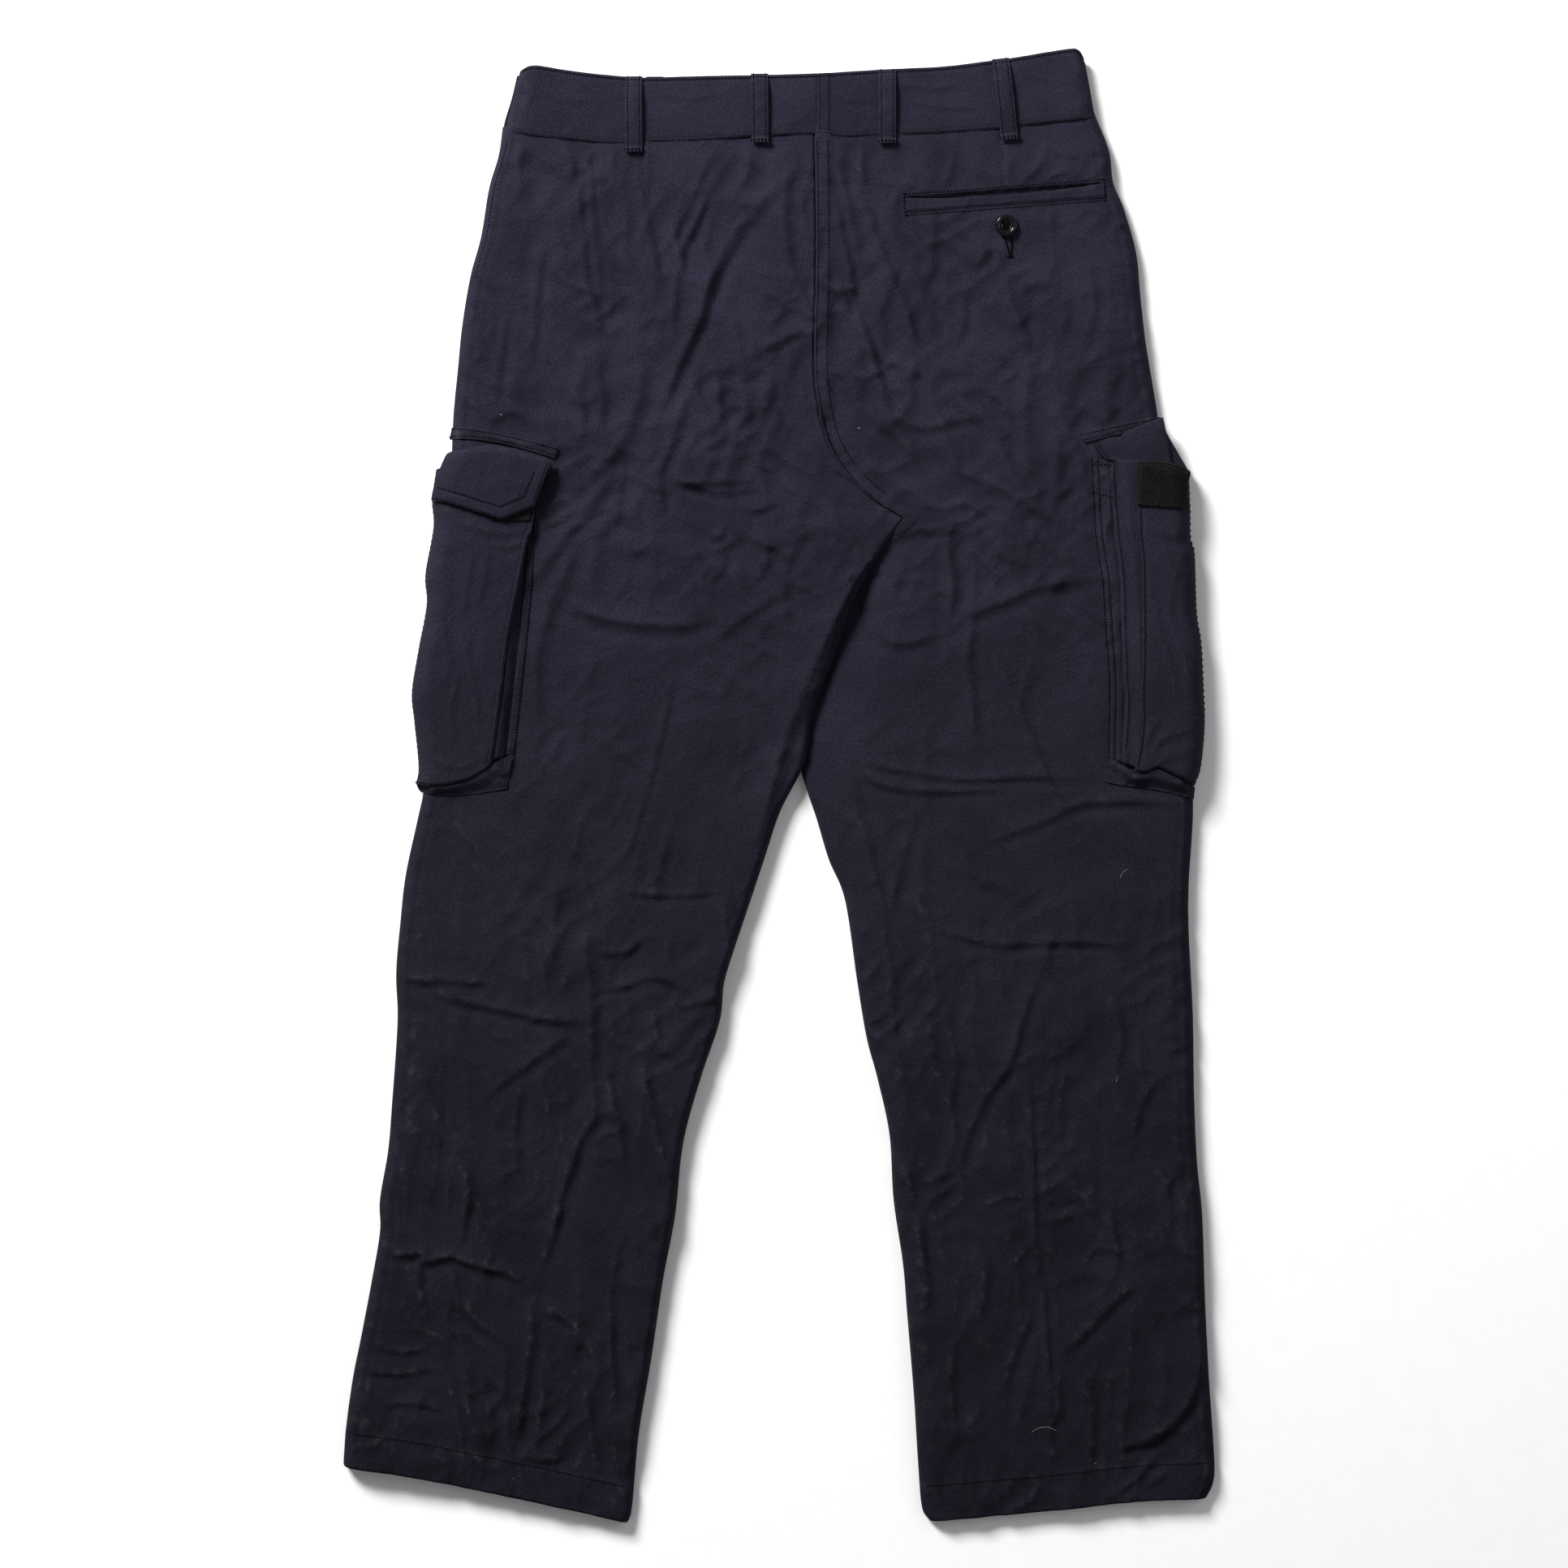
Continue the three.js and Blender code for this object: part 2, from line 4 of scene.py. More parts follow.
import bpy
import numpy as np
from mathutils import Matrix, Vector


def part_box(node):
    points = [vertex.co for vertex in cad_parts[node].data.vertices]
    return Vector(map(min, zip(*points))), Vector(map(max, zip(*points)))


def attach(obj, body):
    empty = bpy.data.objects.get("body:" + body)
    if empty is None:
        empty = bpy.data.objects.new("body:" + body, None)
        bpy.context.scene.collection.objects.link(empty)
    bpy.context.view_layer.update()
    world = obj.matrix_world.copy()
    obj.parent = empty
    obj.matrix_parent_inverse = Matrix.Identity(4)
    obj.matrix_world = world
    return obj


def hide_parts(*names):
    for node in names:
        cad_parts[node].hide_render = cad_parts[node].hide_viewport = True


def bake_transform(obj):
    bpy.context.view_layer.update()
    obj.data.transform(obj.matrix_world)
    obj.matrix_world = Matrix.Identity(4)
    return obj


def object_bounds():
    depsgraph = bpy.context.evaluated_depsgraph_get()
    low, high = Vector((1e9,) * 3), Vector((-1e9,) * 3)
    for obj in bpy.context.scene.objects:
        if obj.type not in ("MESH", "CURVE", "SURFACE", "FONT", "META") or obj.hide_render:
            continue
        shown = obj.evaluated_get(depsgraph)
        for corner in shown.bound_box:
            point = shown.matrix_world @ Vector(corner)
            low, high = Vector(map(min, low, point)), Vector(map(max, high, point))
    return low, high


bl_info = {"name": "Cargo Trousers", "version": (1, 0, 0), "blender": (4, 5, 0),
    "location": "View3D > Sidebar > Trousers",
    "description": "Navy twill work trousers laid flat, back up, piece by piece", "category": "Add Mesh"}

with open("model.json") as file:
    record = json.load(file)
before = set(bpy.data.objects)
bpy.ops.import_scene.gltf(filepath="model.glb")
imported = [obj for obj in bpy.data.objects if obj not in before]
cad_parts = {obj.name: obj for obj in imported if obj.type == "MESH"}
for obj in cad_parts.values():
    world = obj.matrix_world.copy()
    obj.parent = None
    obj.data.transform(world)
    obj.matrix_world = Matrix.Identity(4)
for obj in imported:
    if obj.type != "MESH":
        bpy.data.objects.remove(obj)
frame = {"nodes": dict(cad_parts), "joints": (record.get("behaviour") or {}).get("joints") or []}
CAD_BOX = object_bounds()
MM = 0.001

# Places on the garment are (across, down) in millimetres: across from the centre back seam,
# positive towards the wearer's right, and down from the top of the waistband at that seam.
SEAM_X = (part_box("waistband_back_left")[1].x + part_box("waistband_back_right")[0].x) / 2
WAIST_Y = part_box("waistband_back_left")[1].y - 4 * MM


def joint(name):
    """The row's joint of that name."""
    return next(j for j in frame["joints"] if j["name"] == name)


# ---- outlines
CROTCH = (66, 329)
RISE = [(0, 38), (1, 95), (1, 155), (0, 185), (1, 233), (11, 275), (35, 308), CROTCH]
LEFT_OUTER = [(-231, 38), (-234, 59), (-241, 83), (-247, 119), (-255, 149), (-261, 185), (-264, 215),
    (-267, 245), (-268, 261), (-271, 330), (-278, 420), (-286, 500), (-290, 532), (-294, 551),
    (-303, 593), (-307, 629), (-310, 665), (-309, 701), (-313, 761), (-316, 797), (-322, 833),
    (-322, 857), (-328, 893), (-336, 935), (-342, 965), (-347, 1001), (-349, 1028)]
LEFT_INNER = [CROTCH, (52, 349), (29, 389), (17, 425), (-1, 473), (-7, 509), (-25, 545), (-37, 581),
    (-49, 617), (-61, 653), (-67, 674), (-70, 701), (-84, 743), (-97, 791), (-103, 845), (-112, 893),
    (-121, 953), (-130, 1007), (-135, 1061), (-138, 1072)]
LEFT_HEM = [(-349, 1028), (-343, 1031), (-301, 1037), (-241, 1049), (-181, 1062), (-138, 1072)]
RIGHT_OUTER = [(206, 20), (209, 30), (219, 56), (222, 79), (230, 99), (239, 131), (242, 161), (246, 197),
    (251, 227), (255, 253), (258, 290), (264, 380), (272, 470), (281, 534), (278, 599), (278, 635),
    (281, 695), (282, 755), (284, 803), (288, 845), (290, 905), (293, 965), (297, 1025), (296, 1043),
    (291, 1054)]
RIGHT_INNER = [CROTCH, (44, 350), (20, 389), (8, 425), (-8, 473), (-10, 509), (-5, 530), (2, 551),
    (11, 581), (23, 611), (32, 671), (39, 713), (47, 743), (56, 785), (59, 833), (66, 881), (69, 917),
    (74, 977), (77, 1025), (80, 1061), (86, 1071)]
RIGHT_HEM = [(86, 1071), (120, 1068), (185, 1062), (239, 1056), (291, 1054)]
BAND_TOP = [(-218, -3), (-207, -6), (-186, -3), (-164, 0), (-142, 2), (-127, 3), (-85, 2), (-1, 0),
    (53, -3), (95, -5), (128, -9), (144, -11), (186, -18), (195, -18), (200, -13)]
BAND_SEAM = [(-229, 43), (-202, 47), (-162, 51), (-146, 52), (-127, 51), (-85, 50), (-46, 47), (0, 45),
    (24, 47), (47, 46), (95, 44), (137, 41), (152, 39), (208.5, 33)]
LEFT_SIDE_BAND = [(-218, -3), (-222, 14), (-227, 30), (-229, 43)]
RIGHT_SIDE_BAND = [(200, -13), (203, 3), (206, 20), (208.5, 33)]

# ---- folds
# Each fold is its height, its half width, then across and down of each of its points. It is a ridge
# in the cloth, steep on its lower right.
SEAT_FOLDS = [
    (1.8, 4.5, -130, 64, -126, 94, -118, 138, -111, 162),
    (1.4, 4.5, -138, 280, -145, 317, -149, 343),
    (1.6, 4.5, -94, 229, -98, 251, -113, 292, -115, 324),
    (1.6, 5, -28, 223, -41, 261, -44, 292),
    (1.4, 5, -72, 223, -69, 267, -71, 295),
    (1.4, 4, -132, 298, -113, 311, -115, 328),
    (2.4, 4.5, 9, 70, 21, 122, 31, 173, 41, 204, 53, 248, 63, 264, 82, 292),
    (1.9, 4, 6, 154, 22, 170, 37, 223),
    (2.6, 5, 4, 204, 22, 232, 44, 254, 60, 267, 82, 295),
    (1.5, 4, -174, 75, -172, 108, -170, 143, -162, 176, -157, 206),
    (1, 3, -166, 58, -164, 108, -160, 146, -157, 191),
    (1.4, 4, -70, 51, -80, 69, -89, 90, -104, 120, -117, 138),
    (1, 3.5, -78, 78, -85, 105, -100, 131, -115, 158),
    (2, 7, -7, 64, -25, 83, -48, 105, -67, 131, -80, 161, -89, 191, -102, 221, -115, 251, -134, 273),
    (1.5, 4.5, -74, 83, -89, 113, -100, 143, -104, 176, -104, 203),
    (1.5, 5, -40, 100, -55, 123, -74, 150, -85, 183, -100, 213, -112, 243),
    (2.8, 12, -127, 203, -130, 240, -142, 270, -160, 293, -179, 311),
    (1.2, 4, -59, 176, -55, 206, -48, 223),
    (1.8, 4, -40, 206, -22, 195, -3, 188),
    (1.5, 4, -25, 143, -10, 161, -1, 183),
    (2.2, 8, -12, 62, -22, 90, -20, 130, -12, 160),
    (1.6, 5, -96, 214, -80, 250, -76, 285, -88, 310),
    (1.5, 6, -52, 230, -48, 262, -56, 290),
    (1.2, 4, -200, 120, -206, 170, -208, 220),
    (1, 3.5, -226, 170, -232, 210, -236, 250),
    (2.4, 7, 14, 52, 22, 84, 28, 115, 34, 146),
    (2.2, 5.5, 31, 86, 46, 123, 57, 150, 68, 176, 78, 214),
    (2, 5, 12, 140, 27, 176, 42, 206, 53, 236, 61, 262),
    (1.6, 4, 6, 196, 20, 221, 38, 240, 53, 258),
    (1.3, 6, 110, 158, 110, 180, 104, 203),
    (1.4, 7, 140, 158, 151, 183, 158, 213, 166, 243),
    (2, 6, 91, 225, 106, 243, 125, 258, 140, 281, 151, 308),
    (1.8, 5, 57, 250, 80, 262, 110, 255, 127, 257),
    (1.6, 6, 170, 243, 185, 263, 196, 288, 200, 311),
    (1.4, 3.5, 165, 50, 180, 57, 196, 63),
    (1.5, 7, 84, 90, 88, 120, 84, 160),
    (1.2, 5, 200, 140, 207, 170, 200, 205),
    (1.8, 9, 60, 120, 80, 165, 92, 205),
]
THIGH_FOLDS = [
    (1.9, 4, -108, 303, -70, 302, -40, 300),
    (1.6, 3.5, -105, 297, -73, 309, -37, 305),
    (1.5, 3, -57, 309, -45, 323, -25, 315),
    (1.6, 3.5, -90, 325, -73, 343, -66, 333),
    (1.7, 3.5, -57, 333, -37, 349, -20, 346),
    (1.4, 3.5, -73, 345, -66, 361, -78, 377),
    (1.3, 3.5, -33, 357, -45, 377),
    (1.6, 4.5, -119, 300, -108, 281, -97, 263),
    (4.2, 9, -186, 384, -175, 394, -160, 401, -133, 406, -90, 407, -70, 396),
    (1.8, 9, -174, 333, -181, 361, -193, 389, -205, 429, -205, 473, -201, 505),
    (0.9, 2.4, -102, 437, -117, 505, -133, 561, -141, 597),
    (1.6, 2.6, -143, 603, -124, 606, -105, 607, -85, 606, -67, 603),
    (1.3, 4, -270, 549, -249, 573, -235, 591),
    (1.6, 6, -174, 585, -165, 613, -159, 637),
    (3, 9, 56, 345, 30, 376, 8, 420, -13, 469, -25, 505, -36, 545, -52, 590),
    (2, 8, -150, 300, -168, 322, -190, 350, -214, 382),
    (1.4, 6, -20, 380, -50, 400, -76, 420),
    (1.6, 6, 0, 330, -16, 352, -24, 380, -18, 410),
    (2.6, 6, 38, 402, 52, 418, 72, 420, 92, 412),
    (2.6, 8, 104, 404, 124, 396, 145, 388, 167, 379, 210, 372),
    (1.9, 6, 117, 401, 113, 433, 117, 469, 119, 501),
    (1.6, 6, 126, 417, 147, 457, 162, 497, 179, 537, 203, 577),
    (1.8, 6, 155, 330, 170, 345, 191, 369),
    (1.8, 6, 147, 293, 162, 321, 187, 333),
    (1.4, 6, 183, 393, 210, 421),
    (1.9, 3.5, 24, 500, 40, 509, 66, 515, 111, 521, 155, 519, 207, 521),
    (1.5, 3.5, 33, 503, 47, 524, 87, 530, 147, 527),
    (1.7, 5, 119, 569, 167, 553, 198, 539, 246, 537, 279, 541),
    (1.8, 5, 23, 505, 35, 553, 47, 601, 51, 637),
    (1.5, 6, 78, 537, 66, 577, 54, 625),
    (2.2, 7, 84, 330, 96, 350, 104, 378, 96, 402),
    (1.7, 6, 70, 350, 62, 372, 56, 392),
    (1.4, 5, 128, 340, 140, 356, 160, 366),
]
KNEE_FOLDS = [(1.8, 4, -307, 665, -290, 670, -277, 669, -250, 671, -234, 673), (3, 5, -284, 676, -265,
    683, -249, 687, -217, 694, -193, 699, -164, 700), (1.8, 5, -181, 709, -213, 733, -246, 757),
    (3, 7, -171, 617, -169, 649, -165, 681, -165, 729, -162, 769, -174, 789, -183, 817, -192, 853, -198,
    881), (2.2, 4, -165, 679, -138, 673, -114, 667, -90, 681), (1.9, 3.5, -102, 689, -81, 685, -69, 679),
    (1.7, 4, -121, 689, -114, 717, -102, 731), (2.2, 5, -165, 729, -150, 753, -141, 801, -138, 817),
    (2, 5, -129, 721, -121, 761, -114, 793, -103, 821), (1.4, 3.5, -162, 649, -141, 649, -126, 637),
    (1.5, 5, -285, 745, -277, 777, -259, 809, -255, 833, -265, 857), (1.9, 5, -255, 809, -246, 841, -229,
    865), (1.3, 5, -216, 740, -222, 790, -214, 830), (1.5, 7, -190, 640, -200, 660, -196, 684),
    (1.9, 4, 87, 629, 110, 637, 135, 643, 183, 641, 239, 643), (1.8, 4.5, 180, 629, 173, 645, 174, 659,
    191, 679), (2.2, 5, 174, 659, 162, 673, 150, 709, 143, 733, 126, 757, 111, 793, 107, 833),
    (1.1, 2.4, 156, 701, 159, 753, 161, 793, 162, 841, 165, 881, 170, 912, 174, 972, 174, 993, 179, 1058),
    (1.7, 5, 47, 617, 57, 665, 59, 709, 65, 735), (1.6, 5, 57, 793, 71, 821, 77, 853, 84, 902, 76, 917),
    (1.9, 6, 185, 809, 203, 837, 219, 853, 227, 877), (1.5, 5, 234, 789, 243, 757, 255, 741),
    (1.4, 5, 96, 690, 104, 730, 98, 770), (1.4, 6, 218, 670, 226, 710, 220, 750), (1.3, 5, 250, 800, 262,
    830, 258, 870)]
SHIN_FOLDS = [(3.4, 4.2, -323, 858, -314, 868, -306, 872, -290, 871, -284, 877, -269, 873, -250, 880,
    -224, 887, -207, 902, -203, 912), (1.6, 3.5, -259, 809, -256, 835, -263, 873), (2.3, 4.5, -269, 882,
    -263, 903, -250, 921, -229, 938), (1.7, 4, -188, 818, -192, 852, -203, 887), (3, 6.5, -211, 903, -209,
    933, -214, 963, -218, 993, -220, 1019), (1.6, 4, -218, 1022, -200, 1024, -181, 1021), (2.4, 5, -203,
    912, -181, 921, -169, 938, -158, 955), (1.4, 2.6, -336, 957, -310, 960, -276, 955), (1.3, 2.6, -319,
    985, -300, 981, -271, 987), (1.2, 2.4, -326, 938, -306, 944, -282, 941), (1.5, 3.5, -290, 877, -292,
    896, -284, 914), (1.4, 3.5, -236, 868, -244, 884, -240, 902), (1.6, 5, -142, 850, -150, 900, -150,
    950, -144, 1000), (1.4, 5, -170, 960, -166, 1000, -160, 1040), (1.2, 5, -270, 960, -262, 1000, -258,
    1030), (1.6, 5, 161, 912, 149, 942, 136, 981), (1.5, 5, 215, 839, 224, 873, 216, 900), (2, 5.5, 239,
    891, 221, 908, 183, 947), (3.6, 6, 288, 917, 287, 940, 286, 955, 277, 981, 264, 998, 239, 1011, 217,
    1017), (1.8, 4, 256, 1019, 239, 1037, 219, 1053), (1.4, 3, 226, 1015, 243, 1013, 260, 1008),
    (1.5, 5, 104, 930, 100, 970, 108, 1020), (1.4, 5, 200, 960, 206, 1000, 200, 1040), (1.4, 5, 120, 860,
    126, 890, 120, 930)]
FOLDS = SEAT_FOLDS + THIGH_FOLDS + KNEE_FOLDS + SHIN_FOLDS


# ---- plain sums
def ease(low, high, x):
    """0 before low, 1 after high and smooth between, either way round."""
    t = np.clip((np.asarray(x, float) - low) / (high - low), 0, 1)
    return t * t * (3 - 2 * t)


def crown(distance, reach, power=2.2):
    """How high a folded edge has risen, 0 to 1, at that distance in from it."""
    t = np.clip(np.asarray(distance, float) / reach, 0, 1)
    return (1 - (1 - t) ** power) ** (1 / power)


def bell(x, wide):
    """1 at nought, falling away smoothly on both sides."""
    return np.exp(-(x / wide) ** 2)


def places(net):
    """Across and down of every place in a net."""
    return net[..., 0], net[..., 1]


def mix(a, b, t):
    return a + (b - a) * t


def noise(x, y, seed):
    """Smooth noise from 0 to 1, with one bump a unit."""
    lattice = np.random.default_rng(seed).random((128, 128))
    x, y = np.asarray(x, float), np.asarray(y, float)
    i, j = np.floor(x).astype(int), np.floor(y).astype(int)
    fx, fy = x - i, y - j
    sx, sy = fx ** 3 * (fx * (fx * 6 - 15) + 10), fy ** 3 * (fy * (fy * 6 - 15) + 10)
    at = lambda p, q: lattice[q % 128, p % 128]
    return mix(mix(at(i, j), at(i + 1, j), sx), mix(at(i, j + 1), at(i + 1, j + 1), sx), sy)


def curve(points):
    """A smooth line through the points, in steps of a twelfth of each stretch."""
    p = np.array(points, float)
    if len(p) < 3:
        return p
    q = np.vstack([2 * p[0] - p[1], p, 2 * p[-1] - p[-2]])
    t = np.linspace(0, 1, 13)[:-1, None]
    out = []
    for a, b, c, e in zip(q, q[1:], q[2:], q[3:]):
        out.append(0.5 * (2 * b + (c - a) * t + (2 * a - 5 * b + 4 * c - e) * t ** 2 + (3 * b - a - 3 * c
            + e) * t ** 3))
    return np.vstack(out + [p[-1:]])


def along(points, shares):
    """Places on a line at those shares of its length. A ready line is an array; a list is smoothed."""
    p = points if isinstance(points, np.ndarray) else curve(points)
    run = np.r_[0, np.cumsum(np.linalg.norm(np.diff(p, axis=0), axis=1))]
    return np.column_stack([np.interp(np.asarray(shares) * run[-1], run, p[:, k]) for k
        in range(p.shape[1])])


def length_of(points):
    return float(np.linalg.norm(np.diff(points, axis=0), axis=1).sum())


def across_at(points):
    """The line's across as a function of down."""
    p = curve(points)
    return lambda d: np.interp(d, p[:, 1], p[:, 0])


def down_at(points):
    p = curve(points)
    return lambda a: np.interp(a, p[:, 0], p[:, 1])


def patch(top, bottom, left, right, us, vs):
    """A net of places inside four edges: top and bottom run left to right, the others run down."""
    t, b, l, r = along(top, us), along(bottom, us), along(left, vs), along(right, vs)
    u, v = us[None, :, None], vs[:, None, None]
    flat = (1 - u) * (1 - v) * t[0] + u * (1 - v) * t[-1] + (1 - u) * v * b[0] + u * v * b[-1]
    return (1 - v) * t[None] + v * b[None] + (1 - u) * l[:, None] + u * r[:, None] - flat


def spread(length, step, ends=(), dense=()):
    """Shares from 0 to 1 about step apart, with finer ones at the ends and in dense stretches."""
    marks = list(np.linspace(0, 1, max(3, int(round(length / step)) + 1)))
    for e in ends:
        marks += [e / length, 1 - e / length]
    for low, high, fine in dense:
        marks = [m for m in marks if not low < m * length < high]
        marks += list(np.arange(low, high, fine) / length)
    marks = np.unique(np.clip(np.array(marks), 0, 1))
    keep = [0.0]
    for m in marks[1:]:
        if (m - keep[-1]) * length > 0.09:
            keep.append(m)
    keep[-1] = 1.0
    return np.array(keep)


EDGE_STEPS = (0.15, 0.45, 0.9, 1.5, 2.3, 3.3, 4.6, 6.2, 8.2)
left_edge, right_edge = across_at(LEFT_OUTER), across_at(RIGHT_OUTER)
RISE_LINE = curve(RISE)
LEFT_INSIDE = np.vstack([RISE_LINE, curve(LEFT_INNER)[1:]])
RIGHT_INSIDE = np.vstack([RISE_LINE, curve(RIGHT_INNER)[1:]])
left_inside = lambda d: np.interp(d, LEFT_INSIDE[:, 1], LEFT_INSIDE[:, 0])
right_inside = lambda d: np.interp(d, RIGHT_INSIDE[:, 1], RIGHT_INSIDE[:, 0])
band_top, band_seam = down_at(BAND_TOP), down_at(BAND_SEAM)
left_hem, right_hem = down_at(LEFT_HEM), down_at(RIGHT_HEM)


# ---- how the cloth lies
def fold_height(a, d, folds):
    """The height that the folds add, in millimetres."""
    h = np.zeros(np.shape(a))
    for top, wide, *run in folds:
        points = np.reshape(run, (-1, 2)).astype(float)
        line = curve(points)[::4] if len(points) > 2 else points
        wide = 4.6 * (wide / 4.6) ** 0.55
        reach = 4 * wide
        near = ((a > line[:, 0].min() - reach) & (a < line[:, 0].max() + reach) & (d > line[:, 1].min()
            - reach) & (d < line[:, 1].max() + reach))
        if not near.any():
            continue
        pa, pd = a[near], d[near]
        best = np.full(pa.shape, 1e9)
        side, share = np.zeros(pa.shape), np.zeros(pa.shape)
        steps = np.r_[0, np.cumsum(np.linalg.norm(np.diff(line, axis=0), axis=1))]
        for k in range(len(line) - 1):
            (x0, y0), (x1, y1) = line[k], line[k + 1]
            ex, ey = x1 - x0, y1 - y0
            size = math.hypot(ex, ey) or 1.0
            t = np.clip(((pa - x0) * ex + (pd - y0) * ey) / size ** 2, 0, 1)
            gap = np.hypot(pa - x0 - t * ex, pd - y0 - t * ey)
            nx, ny = -ey / size, ex / size
            if nx + 1.6 * ny < 0:
                nx, ny = -nx, -ny
            closer = gap < best
            best = np.where(closer, gap, best)
            side = np.where(closer, (pa - x0) * nx + (pd - y0) * ny, side)
            share = np.where(closer, (steps[k] + t * size) / steps[-1], share)
        s = np.sign(side) * best / wide
        lit = 0.35 * bell(s, 1.5) + 0.65 * np.exp(-np.sqrt(s * s + 0.01) * 1.5)
        steep = np.exp(-np.sqrt(s * s + 0.01) * 2.1) - 0.42 * bell(s - 1.3, 0.7)
        taper = ease(-0.02, 0.22, share) * ease(1.02, 0.74, share)
        wobble = 0.75 + 0.5 * noise(share * steps[-1] / 23, 0.3 + top, 11)
        h[near] += 1.55 * top ** 0.55 * wobble * taper * np.where(s < 0, lit, steep)
    return h


def ridged(x, y, seed):
    """Noise whose high places are sharp lines, -1 to 1."""
    return 1 - 2 * np.sqrt((2 * noise(x, y, seed) - 1) ** 2 + 0.0012)


def crumple(a, d):
    """Creases between the folds: sharp crests that come and go, longer and finer down the legs."""
    low = ease(420, 760, d)
    calm = 1 - 0.5 * ease(370, 430, d) * ease(640, 570, d)
    wa = a + 20 * (noise(a / 50, d / 60, 1) - 0.5) + 6 * (noise(a / 14, d / 17, 12) - 0.5)
    wd = d + 24 * (noise(a / 55, d / 50, 2) - 0.5) + 6 * (noise(a / 15, d / 14, 13) - 0.5)
    come = lambda size, seed: ease(0.3, 0.68, noise(a / size, d / size, seed))
    fit = mix(1.3, 1.0, low)
    return (3.4 * (noise(wa / 52, wd / 95, 3) - 0.5) + calm * fit * (1.5 * ridged(wa / mix(21, 27, low),
        wd / mix(60, 110, low), 4) * come(58, 14) + mix(1.2, 0.7, low) * ridged((wa + 0.7 * wd)
        / mix(38, 46, low), (wd - 0.7 * wa) / 22, 5) * come(64, 15) + mix(0.9, 1.0, low)
        * ridged((wa - 0.9 * wd) / mix(27, 34, low), (wd + 0.9 * wa) / 19, 7) * come(52, 16)
        + mix(0.42, 0.6, low) * ridged(wa / 10, wd / mix(19, 38, low), 6) * come(36, 17) + 0.35
        * (noise(wa / 5, wd / 7, 8) - 0.5)))


def pucker(distance, run, seed, reach=9.0, pitch=7.0):
    """Gathers that run out from a row of stitching."""
    wave = noise(run / pitch, 0.5 + 0 * run, seed) - 0.5 + 0.5 * (noise(run / 3.1, 7.5 + 0 * run, seed)
        - 0.5)
    return wave * bell(distance, reach)


def loft(d, sizes):
    """How high the back lies over the front: full over the body, lower at the open hems."""
    return sizes.loft * 1000 - 5.0 * ease(980, 1075, d)


def settle(a, d, sizes):
    """Folds, creases and the soft shape that both legs share."""
    u, v = welt_place(a, d)
    framed = np.hypot(np.maximum(np.abs(u) - WELT_WIDTH / 2, 0), np.maximum(np.abs(v) - WELT_HEIGHT / 2,
        0))
    quiet = ease(47, 66, d) * (1 - 0.7 * bell(framed, 6))
    return sizes.fold_gain * quiet * (fold_height(a, d, FOLDS) + crumple(a, d))


def left_height(a, d, sizes):
    """Top of the left back panel, in millimetres above the ground."""
    top, reach = loft(d, sizes), sizes.edge_roll * 1000
    outer, inner = a - left_edge(d), left_inside(d) - a
    ground = mix(1.6, 5.4, ease(600, 500, d))
    below = ease(CROTCH[1] - 12, CROTCH[1] + 40, d)
    rim = np.minimum(crown(outer, reach), 1 - below * (1 - crown(inner, reach * 0.5)))
    low = np.where(outer < inner, 1.6, ground)
    h = low + (top - low) * rim
    h += settle(a, d, sizes) * rim
    h += 1.0 * pucker(outer - 7, d, 21) * ease(0, 5, outer)
    h -= 0.7 * bell(outer - 11, 1.6) - 0.5 * bell(outer - 7, 3.0)
    h += (1.6 * pucker(np.abs(inner), d, 22) * quiet_waist(d) - 1.3 * bell(inner, 0.9)) * (1 - below)
    hem = left_hem(a) - d
    h += 0.7 * ease(29, 27, hem) + 1.6 * pucker(np.abs(hem - 27), a, 23, 12.0, 12.0) * ease(0, 6, outer)
    h += dart(a, d, (-127, 53), (-126, 92))
    return h


def quiet_waist(d):
    return ease(48, 62, d)


def dart(a, d, start, end):
    """A sewn dart: a fine groove that dies away at its point."""
    t = np.clip((d - start[1]) / (end[1] - start[1]), -0.2, 1)
    x = mix(start[0], end[0], t)
    return (-1.5 * bell(a - x, 1.2) + 0.9 * bell(a - x - 3, 3)) * ease(1.0, 0.8, t) * (d < end[1] + 4)


def right_height(a, d, sizes):
    """Top of the right back panel, in millimetres above the ground."""
    top, reach = loft(d, sizes), sizes.edge_roll * 1000
    outer, inner = right_edge(d) - a, a - right_inside(d)
    below = ease(CROTCH[1] - 12, CROTCH[1] + 40, d)
    tuck = ease(570, 480, d)
    side = mix(crown(inner, reach * 0.9), ease(-6, 52, inner), tuck)
    rim = np.minimum(crown(outer, reach), 1 - below * (1 - side))
    low = np.where(outer < inner, 1.6, mix(1.6, 2.6, tuck))
    h = low + (top - low) * rim
    h += settle(a, d, sizes) * rim
    h += 1.0 * pucker(outer - 7, d, 31) * ease(0, 5, outer)
    h -= 0.7 * bell(outer - 11, 1.6) - 0.5 * bell(outer - 7, 3.0)
    felled = ease(-0.2, 1.0, inner) * ease(12.5, 10.5, inner) * (1 - below) * ease(30, 44, d)
    h -= 1.5 * bell(inner, 0.8) * (1 - below)
    h += 1.3 * felled + 2.0 * pucker(np.abs(inner - 5), d, 32) * (1 - below) * quiet_waist(d)
    h -= 6.0 * bell(np.maximum(inner - 5, 0), 8) * ease(238, 262, d) * ease(318, 292, d) * ease(-0.5, 3,
        inner)
    h -= 4.2 * np.exp(-(((a - 32) / 13) ** 2 + ((d - 396) / 24) ** 2))
    hem = right_hem(a) - d
    h += 0.7 * ease(29, 27, hem) + 1.6 * pucker(np.abs(hem - 27), a, 33, 12.0, 12.0) * ease(0, 6, outer)
    h += dart(a, d, (138, 43), (141, 86))
    return h


